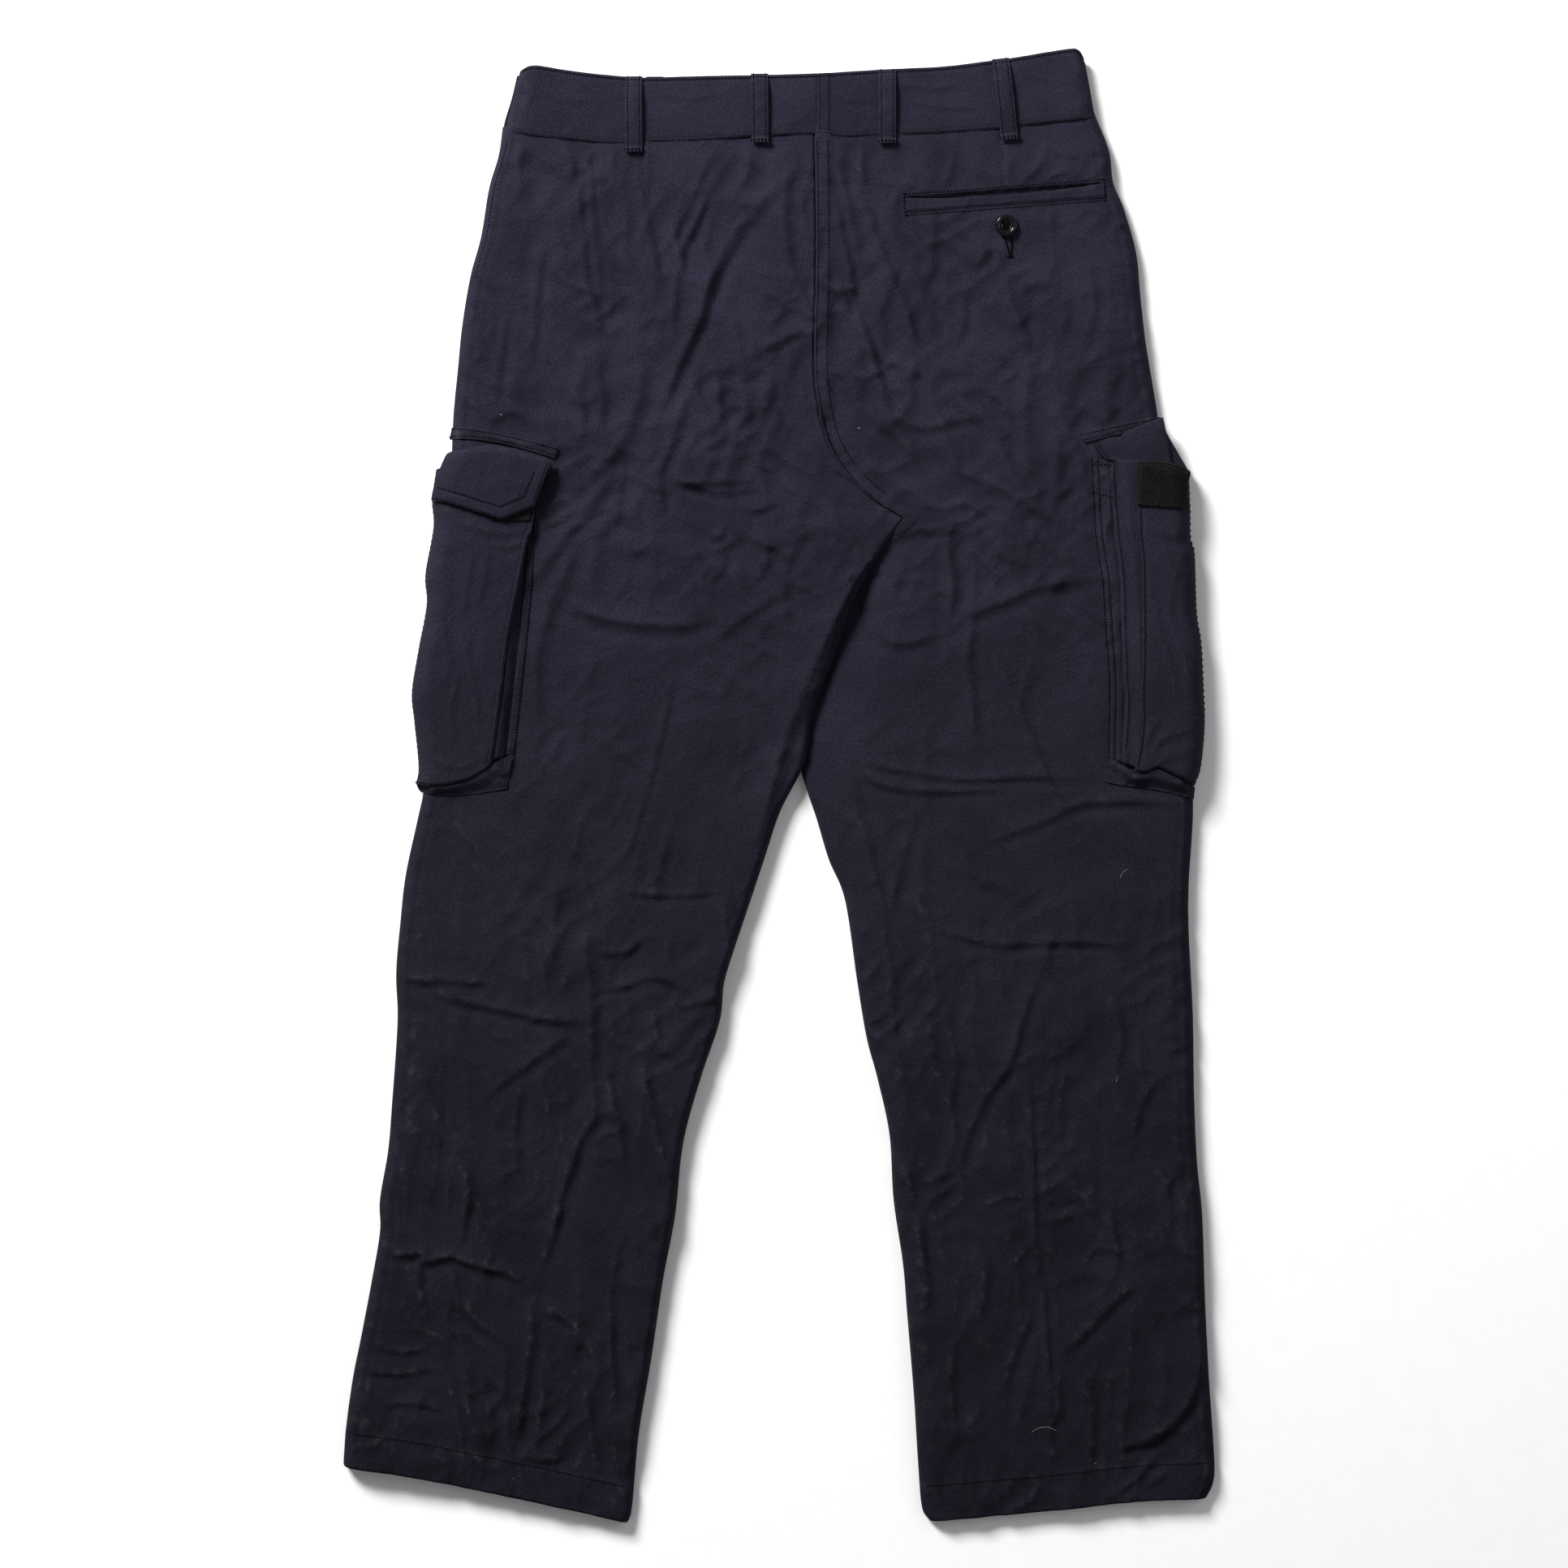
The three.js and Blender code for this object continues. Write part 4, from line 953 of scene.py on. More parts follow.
class TrouserSizes(bpy.types.PropertyGroup):
    """Sizes of the cloth, its seams and its trimmings."""
    ply: metres("Cloth thickness", "One layer of twill", 0.0007, min=0.0003, max=0.002)
    loft: metres("Loft", "Height of the back over the ground", 0.0146)
    edge_roll: metres("Edge roll", "Width over which a folded edge rises", 0.015)
    fold_gain: bpy.props.FloatProperty(name="Fold strength", description="Share of each fold's height",
        default=1.0, subtype="FACTOR", min=0, max=3)
    mesh_step: metres("Mesh step", "Spacing of the leg panels' mesh", 0.0021)
    hem: metres("Hem depth", "Turned-up hem at each leg's end", 0.027)
    stitch_pitch: metres("Stitch pitch", "Distance from stitch to stitch", 0.0023)
    stitch_length: metres("Stitch length", "Thread showing in each stitch", 0.0015)
    stitch_width: metres("Stitch width", "Thickness of the thread", 0.00095)
    loop_width: metres("Belt loop width", "Width of each belt loop", 0.0130)
    pile_height: metres("Pile height", "Height of the loop strip's loops", 0.0011)
    button: metres("Button width", "Diameter of the back pocket's button", 0.0163)


class TrouserFinish(bpy.types.PropertyGroup):
    """Colours of the cloth and its trimmings."""
    # Painted light: the cloth at the waist gets a lighter colour and the cloth at the hems a darker one,
    # for the key light falling off down the legs.
    cloth_painted_light_at_waist: tone("Cloth at the waist", "Navy with painted light", (0.0168, 0.0148, 0.0262))
    cloth_painted_shade_at_hems: tone("Cloth at the hems", "Darker navy", (0.0086, 0.0081, 0.0128))
    # The scuff colour paints dusty rubbing, and painted highlight along edges and seams.
    scuff_and_highlight: tone("Scuffs and highlights", "Dusty wear on raised cloth", (0.030, 0.0285, 0.033))
    lint: tone("Lint", "Pale specks", (0.30, 0.29, 0.28))
    sheen: tone("Sheen", "Tint of the cloth's sheen", (0.62, 0.62, 0.8))
    # Painted shade: the sewing thread is far darker than the cloth, standing in for the shade in the
    # needle holes and dimples along each row.
    thread: tone("Thread", "Sewing thread painted dark as shade", (0.0030, 0.0020, 0.0032))
    button_thread: tone("Buttonhole thread", "Black thread", (0.0016, 0.0016, 0.0018))
    pile: tone("Pile", "Hook and loop tape", (0.0068, 0.0067, 0.0070))
    button: tone("Button", "Moulded button plastic", (0.004, 0.004, 0.0045))
    brass: tone("Brass", "Zip teeth, slider and pull", (0.45, 0.32, 0.14))


class TrouserStage(bpy.types.PropertyGroup):
    """The floor, the lights and the camera."""
    floor: tone("Floor", "Pale floor", (0.86, 0.86, 0.86))
    key_power: bpy.props.FloatProperty(name="Key light", description="Power of the light over the waist",
        default=355.0, subtype="POWER")
    fill: bpy.props.FloatProperty(name="Fill", description="Strength of the soft light all round",
        default=0.26)
    lens: bpy.props.FloatProperty(name="Lens", description="Focal length", default=85.0,
        subtype="DISTANCE")
    frame_width: metres("View width", "Width that the camera takes in", 1.1592)


def sizes():
    return bpy.context.scene.trouser_sizes


def stage():
    return bpy.context.scene.trouser_stage


# ---- operators
def finish_piece(piece, slot, body, replaces=()):
    """Hides the CAD nodes that the piece replaces, takes off its flat measures and parents it to its
    body; the slot is not used.
    """
    if replaces:
        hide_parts(*replaces)
    if "flat" in piece:
        declare(piece)
    if body:
        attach(piece, body)


def twill_piece(name, net, z, thick, wear, start, body, nodes=()):
    """A piece of twill with folded edges, ready in its place."""
    piece = cloth(name, net, z, material("folded"), thick, wear, start)
    finish_piece(piece, "twill_folded", body, nodes)


def bend_at_base(piece):
    """Bakes a right pocket front piece's placement into its mesh."""
    middle = Vector(joint("right_pocket_gape")["pos_m"])
    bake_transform(piece)


def fold_at_knee(piece, side):
    """Bakes a leg piece's placement into its mesh."""
    knee = joint(side + "_knee_fold")
    middle, axis = Vector(knee["pos_m"]), Vector(knee["axis"])
    down = axis.cross(Vector((0, 0, 1))).normalized()
    if down.y > 0:
        down = -down
    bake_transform(piece)


class PieceOperator:
    """Runs one maker; a maker that can't finish raises an error."""
    bl_options = {"REGISTER"}

    def execute(self, context):
        self.make(context)
        return {"FINISHED"}


def leg_sheet(name, top, hem, left, right, width, length, height, dense=()):
    us = spread(width, sizes().mesh_step * 1000, EDGE_STEPS)
    vs = spread(length, sizes().mesh_step * 1000, dense=dense)
    net = patch(top, hem, left, right, us, vs)
    return net, height(*places(net))


class TROUSER_OT_backs(PieceOperator, bpy.types.Operator):
    """Back of each leg, from the waistband to the hem, with its folds and its turned-up hem"""
    bl_idname = "trouser.backs"
    bl_label = "Leg backs"

    def make(self, context):
        s = sizes()
        hem = s.hem * 1000
        for side, top, low, lines, height, edge_down in (("left", [(-231, 38), (-120, 41), (0, 38)],
                LEFT_HEM, (LEFT_OUTER, LEFT_INSIDE), left_height, left_hem),
                ("right", [(0, 38), (100, 34), (206, 20)], RIGHT_HEM, (RIGHT_INSIDE, RIGHT_OUTER),
                right_surface, right_hem)):
            dense = ((37.0, 76.0, 0.85),) if side == "right" else ()
            net, z = leg_sheet(side, top, low, *lines, 240.0, 1010.0, lambda a, d: height(a, d, s), dense)
            a, d = places(net)
            thick = s.ply * 1000 * (1 + 1.8 * ease(hem + 0.6, hem - 0.6, edge_down(a) - d))
            rim = np.minimum(a - left_edge(d), left_inside(d) - a) if side == "left" else np.minimum(
                right_edge(d) - a, np.where(d > CROTCH[1], a - right_inside(d), 99))
            # Rubbing on raised cloth, at the hem and at the rubbed places, and painted highlight in a
            # band along the leg's seams.
            wear = worn(z) * (0.35 + 0.65 * ease(400, 900, d)) + 0.5 * bell(rim, 2.0)
            wear += 0.55 * ease(2.6, 0.4, edge_down(a) - d) + marks(a, d)
            piece = cloth(side + "_leg_back", net, z, material("twill"), thick, wear, (0, 38), 2)
            finish_piece(piece, "twill", None, ["back_panel_" + side,
                "shin_back_" + side] + (["thigh_back_left"] if side == "left" else []))
            fold_at_knee(piece, side)


def right_surface(a, d, s):
    """The right back panel with the mouth of its pocket folded in."""
    h = right_height(a, d, s)
    u, v = welt_place(a, d)
    framed = np.hypot(np.maximum(np.abs(u) - WELT_WIDTH / 2, 0), np.maximum(np.abs(v) - WELT_HEIGHT / 2,
        0))
    h += 1.1 * pucker(framed, u + 0.4 * v, 41, 6.0, 9.0) * ease(0, 2.5, framed)
    return h - 2.9 * slit_depth(a, d)


class TROUSER_OT_fronts(PieceOperator, bpy.types.Operator):
    """Front of each leg, lying on the ground under its back"""
    bl_idname = "trouser.fronts"
    bl_label = "Leg fronts"

    def make(self, context):
        left_side, right_side = curve(LEFT_OUTER), curve(RIGHT_OUTER)
        inner = LEFT_INSIDE.copy()
        inner[:, 0] = np.minimum(inner[:, 0], np.where(inner[:, 1] > 330, right_inside(inner[:, 1]) - 0.8,
            999))
        for side, top, low, first, last in (("left", [(-230, 40), (0, 40)], LEFT_HEM, left_side
                + [0.5, 0], inner), ("right", [(0.6, 40), (208, 24)], RIGHT_HEM, RIGHT_INSIDE + [0.6, 0],
                right_side - [0.5, 0])):
            us, vs = spread(240.0, 5.0, (0.4, 1.5, 3.0)), spread(1010.0, 5.0)
            net = patch(top, curve(low) - [0, 1.0], first, last, us, vs)
            a, d = places(net)
            pocket = ease(250, 262, d) * ease(545, 533, d) * ease(66, 58, np.minimum(a - left_edge(d)
                if side == "left" else right_edge(d) - a, 99))
            z = 1.15 + 1.1 * pocket + 0.25 * noise(a / 30, d / 40, 51)
            hem = (left_hem if side == "left" else right_hem)(a) - d
            piece = cloth(side + "_leg_front", net, z, material("twill"), sizes().ply * 1000, worn(z)
                + 0.4 * ease(3, 0.5, hem), (0, 38))
            finish_piece(piece, "twill", None, ["front_panel_" + side, "shin_front_" + side])
            fold_at_knee(piece, side)


def band_height(a, d):
    """Top of the back waistband, in millimetres above the ground."""
    top, low = band_top(a), band_seam(a)
    t = np.clip((d - top) / np.maximum(low - top, 1), 0, 1)
    reach = np.minimum(a - mix(-218, -229, t), mix(200, 208.5, t) - a)
    ends = crown(reach, 15)
    h = 4.4 + (15.7 - 4.4) * ends
    h += (0.55 * np.sin(np.pi * np.clip((t - 0.05) / 0.9, 0, 1)) ** 0.6 + 1.6 * (noise(a / 46, d / 30, 61)
        - 0.5) + 0.5 * (noise(a / 15, d / 22, 62) - 0.5) + 0.1 * ridged((a + d) / 30, (d - 0.5 * a) / 14,
        66)) * ends
    h += 0.9 * pucker(low - d, a, 63, 7.0, 6.0) + 0.8 * pucker(d - top, a, 64, 6.0, 7.0)
    h -= 1.3 * (1 - crown(d - top, 2.4)) + 0.8 * (1 - crown(low - d, 1.6))
    h -= 0.55 * bell(d - top - 3.0, 0.7) + 0.45 * bell(low - d - 2.2, 0.7)
    h += 0.45 * fold_height(a, d, BAND_FOLDS) * ends
    return h


BAND_FOLDS = [
    (0.9, 3, 60, 8, 85, 11, 112, 9),
    (0.8, 3, 72, 20, 100, 26, 122, 24),
    (0.7, 3, -118, 14, -92, 18, -64, 15),
    (0.8, 3.5, -200, 12, -182, 20, -160, 18),
    (0.7, 3, -30, 12, -18, 22, -6, 26),
    (0.7, 3, 160, 0, 178, 6, 192, 4),
    (0.6, 2.6, 14, 14, 30, 20, 44, 18),
]


class TROUSER_OT_waistband(PieceOperator, bpy.types.Operator):
    """Waistband: two back pieces sewn at the centre, and two front pieces under them"""
    bl_idname = "trouser.waistband"
    bl_label = "Waistband"

    def make(self, context):
        top, seam = curve(BAND_TOP), curve(BAND_SEAM)
        middle = 2.0
        for side, low, high in (("left", -999, middle), ("right", middle, 999)):
            cut = lambda line, f: np.vstack([q for q in ([] if low < -900 else [(middle, f(middle))],
                line[(line[:, 0] > low) & (line[:, 0] < high)], [(middle, f(middle))] if low < -900
                else []) if len(q)])
            t, b = cut(top, band_top), cut(seam, band_seam)
            first = LEFT_SIDE_BAND if side == "left" else [tuple(t[0]), tuple(b[0])]
            last = [tuple(t[-1]), tuple(b[-1])] if side == "left" else RIGHT_SIDE_BAND
            us, vs = spread(215.0, 1.7, (0.3, 0.8, 1.5)), spread(50.0, 1.2, (0.2, 0.6, 1.1, 1.7))
            net = patch(t, b, first, last, us, vs)
            a, d = places(net)
            z = band_height(a, d)
            joined = np.abs(a - middle)
            z += (-0.5 * bell(joined, 0.7) + (0.35 * np.exp(-((a - 6) / 5) ** 4) if side == "right"
                else 0))
            rim = np.minimum(d - band_top(a), 99)
            # Rubbing on raised cloth, and painted highlight along the band's stitched top edge.
            wear = worn(z, 0.7) + 0.6 * bell(rim, 1.6)
            twill_piece("band_back_" + side, net, z, 1.7, wear, (0, 0), "garment",
                ["waistband_back_" + side])
            shift = np.array([-2.2 if side == "left" else 1.0, 3.0])
            net = patch(t + shift, b + shift, np.array(along(first, np.linspace(0, 1, 9))) + shift,
                np.array(along(last, np.linspace(0, 1, 9))) + shift, spread(215.0, 5.0, (0.5, 2.0)),
                spread(50.0, 4.0, (0.5, 1.5)))
            z = 3.7 + 0.3 * noise(net[..., 0] / 20, net[..., 1] / 20, 65)
            twill_piece("band_front_" + side, net, z, 1.7, worn(z), (0, 0), "garment",
                ["waistband_front_" + side])


LOOPS = [((-133.4, 2.0), (-133.0, 58.5)), ((-40.4, 0.0), (-39.8, 51.5)), ((54.0, -3.0), (54.2, 52.0)),
    ((137.5, -11.0), (144.4, 49.5))]


def loop_lift(t):
    """How far a belt loop stands off the waistband at that share of its length."""
    return 1.3 + 2.6 * np.sin(np.pi * np.clip((t - 0.05) / 0.86, 0, 1)) ** 0.8


def loop_place(a, d, loop):
    (x0, y0), (x1, y1) = loop
    size = math.hypot(x1 - x0, y1 - y0)
    ex, ey = (x1 - x0) / size, (y1 - y0) / size
    return (a - x0) * -ey * -1 - (d - y0) * ex, ((a - x0) * ex + (d - y0) * ey) / size


def loop_height(a, d, loop, half):
    u, t = loop_place(a, d, loop)
    base = band_height(np.clip(a, -210, 195), np.clip(d, band_top(a) + 3, band_seam(a) - 3))
    h = base + loop_lift(t) + 0.35 * (1 - (u / half) ** 2)
    h -= 0.4 * bell(np.abs(u) - half + 2.1, 0.5)
    h -= 0.5 * (1 - crown(half - np.abs(u), 1.0))
    h += 1.1 * ease(0.925, 0.945, t) - 3.0 * ease(0.05, -0.01, t)
    return h + 0.4 * (noise(u / 6, t * 8, 71) - 0.5)


class TROUSER_OT_belt_loops(PieceOperator, bpy.types.Operator):
    """Belt loops across the back, each with two rows of stitching and a folded, bar-tacked end"""
    bl_idname = "trouser.belt_loops"
    bl_label = "Belt loops"

    def make(self, context):
        half = sizes().loop_width * 500
        for k, loop in enumerate(LOOPS):
            (x0, y0), (x1, y1) = loop
            nx, ny = (y1 - y0) / math.hypot(x1 - x0, y1 - y0), -(x1 - x0) / math.hypot(x1 - x0, y1 - y0)
            side = lambda s, w: [(x0 + s * nx * w, y0 + s * ny * w), (x1 + s * nx * w, y1 + s * ny * w)]
            left, right = side(-1, half), side(1, half)
            us, vs = spread(2 * half, 0.8, (0.15, 0.4, 0.8)), spread(57.0, 0.9, (0.3, 0.9))
            net = patch([left[0], right[0]], [left[1], right[1]], left, right, us, vs)
            a, d = places(net)
            z = loop_height(a, d, loop, half)
            u, t = loop_place(a, d, loop)
            # Rubbing on raised cloth and at the folded end, and painted highlight along the loop's
            # stitched edges.
            wear = worn(z, 0.8) + 0.55 * bell(half - np.abs(u), 0.9) + 0.4 * ease(0.9, 1.0, t)
            twill_piece(f"loop_back_{k + 1}", net, z, 1.5, wear, (x0, 0), "garment",
                [f"belt_loop_back_{k + 1}"])
            for s in (-1, 1):
                sew("garment", side(s, half - 2.1), lambda a, d: loop_height(a, d, loop, half))
            for share in (0.05, 0.955, 0.975):
                ends = [(mix(p[0][0], p[1][0], share), mix(p[0][1], p[1][1], share)) for p
                    in (left, right)]
                sew("garment", ends, lambda a, d: loop_height(a, d, loop, half))


class TROUSER_OT_back_pocket(PieceOperator, bpy.types.Operator):
    """Back pocket: the welt's lip, the facing behind it, the bag inside and the worked buttonhole"""
    bl_idname = "trouser.back_pocket"
    bl_label = "Back pocket"

    def make(self, context):
        s = sizes()
        half = WELT_WIDTH / 2 - 1.0
        u = np.linspace(-half, half, 60)
        gap = SLIT_GAP * (1 - (u / (half * 1.03)) ** 2)
        upper = -WELT_HEIGHT / 2 + 2.2 + 0.5 * (u / half) ** 2 + gap
        top = np.stack(from_welt(u, upper), -1)
        low = np.stack(from_welt(u, np.full_like(u, WELT_HEIGHT / 2 - 2.0)), -1)
        net = patch(top, low, np.array([top[0], low[0]]), np.array([top[-1], low[-1]]), spread(2 * half,
            1.6, (0.3, 1.0)), spread(9.0, 0.6, (0.15, 0.4, 0.8)))
        lip = lambda a, d: self.lip(a, d, s)
        z = lip(*places(net))
        piece = cloth("back_pocket_lip", net, z, material("folded"), 1.2, worn(z, 0.8), (0, 80))
        finish_piece(piece, "twill_folded", "garment", ["back_pocket_welt"])
        for name, finish, slot, node, low_v, high_v, level, wide in (("back_pocket_inside_facing",
                "folded", "twill_folded", "back_pocket_facing", -8, 22, 10.9, half), ("back_pocket_pouch",
                "pocketing", "pocketing", "back_pocket_bag", -6, 112, 9.6, half - 8)):
            net = patch([from_welt(-wide, low_v), from_welt(wide, low_v)], [from_welt(-wide, high_v),
                from_welt(wide, high_v)], [from_welt(-wide, low_v), from_welt(-wide, high_v)],
                [from_welt(wide, low_v), from_welt(wide, high_v)], spread(2 * wide, 5.0), spread(high_v
                - low_v, 5.0))
            z = level + 0.5 * noise(net[..., 0] / 25, net[..., 1] / 25, 72)
            piece = cloth(name, net, z, material(finish), 0.6, None, (0, 80))
            finish_piece(piece, slot, "garment", [node])
        outer = WELT_WIDTH / 2
        surface = lambda a, d: right_surface(a, d, s)
        for v in (-WELT_HEIGHT / 2, WELT_HEIGHT / 2):
            sew("garment", [from_welt(-outer, v), from_welt(outer, v)], surface)
        for x in (-outer, outer):
            sew("garment", [from_welt(x, -WELT_HEIGHT / 2), from_welt(x, WELT_HEIGHT / 2)], surface)
            sew("garment", [from_welt(x * 0.985, -WELT_HEIGHT / 2), from_welt(x * 0.985, WELT_HEIGHT
                / 2)], surface)
        eye = from_welt(0, WELT_HEIGHT / 2 + 21)
        for k in (-1, 1):
            sew("buttonhole", [(eye[0] + k * 2.4 - 0.3, eye[1] - 2), (eye[0] + k * 2.3 + 0.6, eye[1] + 4),
                (eye[0] + k * 1.2 + 1.4, eye[1] + 10), (eye[0] + k * 0.5 + 1.9, eye[1] + 15)], surface,
                lift=0.35)
        sew("buttonhole", [(eye[0] - 0.4, eye[1] + 15.2), (eye[0] + 2.2, eye[1] + 15.6), (eye[0] + 4.2,
            eye[1] + 15)], surface, lift=0.4)

    @staticmethod
    def lip(a, d, s):
        u, v = welt_place(a, d)
        half = WELT_WIDTH / 2 - 1.0
        upper = -WELT_HEIGHT / 2 + 2.2 + 0.5 * (u / half) ** 2 + SLIT_GAP * (1 - (u / (half * 1.03)) ** 2)
        h = right_height(a, d, s) + 1.35 - 0.9 * (1 - crown(v - upper, 1.4)) - 0.9 * ease(WELT_HEIGHT / 2
            - 4.2, WELT_HEIGHT / 2 - 2.0, v)
        return h + 0.5 * (noise(u / 14, v / 5, 73) - 0.5)


class TROUSER_OT_button(PieceOperator, bpy.types.Operator):
    """The back pocket's button: a dished disc with four holes, sewn on with crossed thread"""
    bl_idname = "trouser.button"
    bl_label = "Button"

    def make(self, context):
        low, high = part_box("back_pocket_button")
        cx, cy = (low.x + high.x) / 2, (low.y + high.y) / 2
        base = max(low.z, 0.0166)
        radius, tall = sizes().button / 2, 0.0031
        profile = [(0.0, 0.30), (0.30, 0.30), (0.42, 0.34), (0.52, 0.62), (0.60, 0.86), (0.70, 0.97),
            (0.82, 1.0), (0.92, 0.90), (0.985, 0.66), (1.0, 0.42), (0.97, 0.20), (0.86, 0.05), (0.6, 0.0),
            (0.0, 0.0)]
        turns = 72
        verts, faces = [], []
        rings = profile[1:-1]
        for r, h in rings:
            for k in range(turns):
                angle = 2 * math.pi * k / turns
                verts.append((cx + r * radius * math.cos(angle), cy + r * radius * math.sin(angle), base
                    + h * tall))
        for j in range(len(rings) - 1):
            for k in range(turns):
                n = (k + 1) % turns
                faces.append((j * turns + k, (j + 1) * turns + k, (j + 1) * turns + n, j * turns + n))
        faces.append(tuple(range(turns)))
        faces.append(tuple(reversed(range((len(rings) - 1) * turns, len(rings) * turns))))
        piece = mesh_piece("pocket_button", verts, faces, material("button"))
        holes = []
        for k in range(4):
            angle = math.radians(45 + 90 * k + 4)
            bpy.ops.mesh.primitive_cylinder_add(vertices=20, radius=radius * 0.115, depth=0.02, location=(
                cx + math.cos(angle) * radius * 0.26, cy + math.sin(angle) * radius * 0.26, base))
            holes.append(bpy.context.object)
        for hole in holes:
            cut = piece.modifiers.new("Hole", "BOOLEAN")
            cut.operation, cut.solver, cut.object = "DIFFERENCE", "EXACT", hole
        mesh = bpy.data.meshes.new_from_object(piece.evaluated_get(bpy.context.evaluated_depsgraph_get()))
        piece.modifiers.clear()
        piece.data = mesh
        for hole in holes:
            bpy.data.objects.remove(hole)
        for p in mesh.polygons:
            p.use_smooth = abs(p.normal.z) < 0.9999
        finish_piece(piece, "button_plastic", "garment", replaces=["back_pocket_button"])
        cross = []
        for k in range(4):
            one = math.radians(45 + 90 * k + 4)
            two = math.radians(45 + 90 * (k + 2) + 4) if k < 2 else math.radians(45 + 90 * (k - 1) + 4)
            p, q = [Vector((cx + math.cos(t) * radius * 0.27, cy + math.sin(t) * radius * 0.27, base
                + tall * 0.42)) for t in (one, two)]
            cross.append(np.array([p.lerp(q, t) for t in np.linspace(0, 1, 5)]))
        STITCH_ROWS["button"] = cross
        shank = frame["nodes"]["back_pocket_button_shank"]
        shank.data.materials.clear()
        shank.data.materials.append(material("worked_thread"))


# ---- left cargo pocket
L_OUT = [(-280, 292), (-283, 315), (-282, 335), (-288, 370), (-287, 392), (-293, 425), (-298, 457),
    (-296, 480), (-293, 512), (-295, 525)]
L_IN = [(-201, 288), (-204, 312), (-208, 336), (-211.5, 346), (-216, 370), (-222, 400), (-226.5, 425),
    (-231, 460), (-235.5, 494), (-238, 511)]
L_BASE = [(-295, 525), (-276.8, 526.1), (-258.2, 522.5), (-245.6, 516.5), (-238, 511)]
L_EDGE = [(-199, 290), (-203, 312), (-206, 338), (-208.4, 377), (-213, 425), (-219.2, 482), (-221.5, 503)]
L_BAND_TOP = [(-268.6, 260.6), (-246, 263), (-230, 266), (-205, 272), (-189.2, 276.5)]
L_BAND_LOW = [(-270.4, 269.5), (-248, 271), (-232, 273.5), (-208, 279.5), (-191.5, 284.8)]
L_FLAP_TOP = [(-271.5, 280.7), (-249.2, 275.9), (-237.2, 274.7), (-217.4, 278.3), (-200.6, 283.1),
    (-192.8, 286.7)]
L_FLAP_LOW = np.array([(-282.8, 315.5), (-276, 316.6), (-270.2, 317.9), (-254, 322.9), (-230, 330.5),
    (-217, 325.2), (-205.4, 320.3)])
L_FLAP_OUT = [(-271.5, 280.7), (-277, 294), (-281, 306), (-282.8, 315.5)]
L_FLAP_IN = [(-192.8, 286.7), (-198, 300), (-205.4, 320.3)]
# ---- right cargo pocket
R_OUT = [(277.4, 293), (278.6, 322), (279, 344), (282, 356), (283.4, 398), (286.8, 421), (288.6, 458),
    (289.4, 481), (286.6, 512), (281.9, 526)]
R_IN = [(238.8, 287), (238.8, 335), (241.2, 360), (241.7, 381), (241.9, 427), (240.9, 456), (241.3, 477),
    (239.2, 498), (235.5, 516)]
R_TOP = [(238.8, 287), (256.6, 287.6), (277.4, 293)]
R_BASE = np.array([(235.5, 516), (244, 516.5), (253, 512.5), (281.9, 526)])
R_EDGE = [(203.6, 284.5), (204.8, 310), (206.9, 343), (211.6, 373), (214.2, 414), (216.7, 448),
    (216, 506)]
R_PLEAT = [(219.6, 288), (220.9, 315), (223.6, 344), (227.1, 373), (228.4, 414), (229.8, 446),
    (230.8, 467), (228.8, 498)]
R_BAND_TOP = [(197.2, 265.7), (225, 259.5), (257, 252.6)]
R_BAND_LOW = [(199.2, 273.6), (227, 266.4), (252, 258.4)]
R_FLAP_TOP = [(204.5, 272.6), (225, 266.2), (245.4, 258.3), (257.6, 254.0)]
R_FLAP_OUT = [(257.6, 254.0), (262.1, 277.3), (264.5, 290), (266, 310)]
R_FLAP_IN = [(204.5, 272.6), (211.5, 283.5), (226, 290), (237, 306)]

L_POCKET_FOLDS = [
    (2, 4.5, -262, 330, -245, 337, -226, 340, -212, 335),
    (1.6, 3.5, -240, 346, -226, 350, -213, 345),
    (1.4, 3.5, -252, 350, -256, 380, -260, 410),
    (1.3, 3, -240, 352, -243, 372, -248, 396),
    (1.5, 4, -252, 405, -256, 432, -250, 462, -248, 488),
    (1.3, 4, -262, 440, -268, 470, -266, 500),
    (1.6, 4, -284, 500, -268, 512, -252, 509, -242, 502),
    (1.3, 5, -282, 340, -272, 350, -262, 352),
    (1, 4, -276, 400, -270, 430, -274, 460),
    (1.2, 3, -248, 498, -243, 505, -239, 508),
]
R_POCKET_FOLDS = [
    (1.8, 4, 256, 344, 262, 362, 271, 384, 280, 402),
    (1.5, 4.5, 247, 382, 254, 410, 263, 440, 266, 466),
    (1.3, 3.5, 262, 402, 272, 430, 276, 456),
    (2, 4, 246, 508, 254, 494, 266, 488, 282, 483),
    (1.7, 3.5, 243, 500, 248, 486, 254, 474),
    (1.3, 3.5, 250, 512, 262, 505, 278, 502),
    (1.3, 5, 250, 336, 262, 342, 274, 338),
    (1.1, 4, 268, 360, 262, 390, 260, 420),
]


def nearest(points):
    """Distance in millimetres from places to a line, by its evenly spread points."""
    line = points if isinstance(points, np.ndarray) else curve(points)
    line = along(line, np.linspace(0, 1, 260))

    def measure(a, d):
        flat = np.stack([np.ravel(a), np.ravel(d)], -1)
        out = np.empty(len(flat))
        for k in range(0, len(flat), 4096):
            gap = flat[k:k + 4096, None] - line[None]
            out[k:k + 4096] = np.sqrt((gap ** 2).sum(2).min(1))
        return out.reshape(np.shape(a))
    return measure


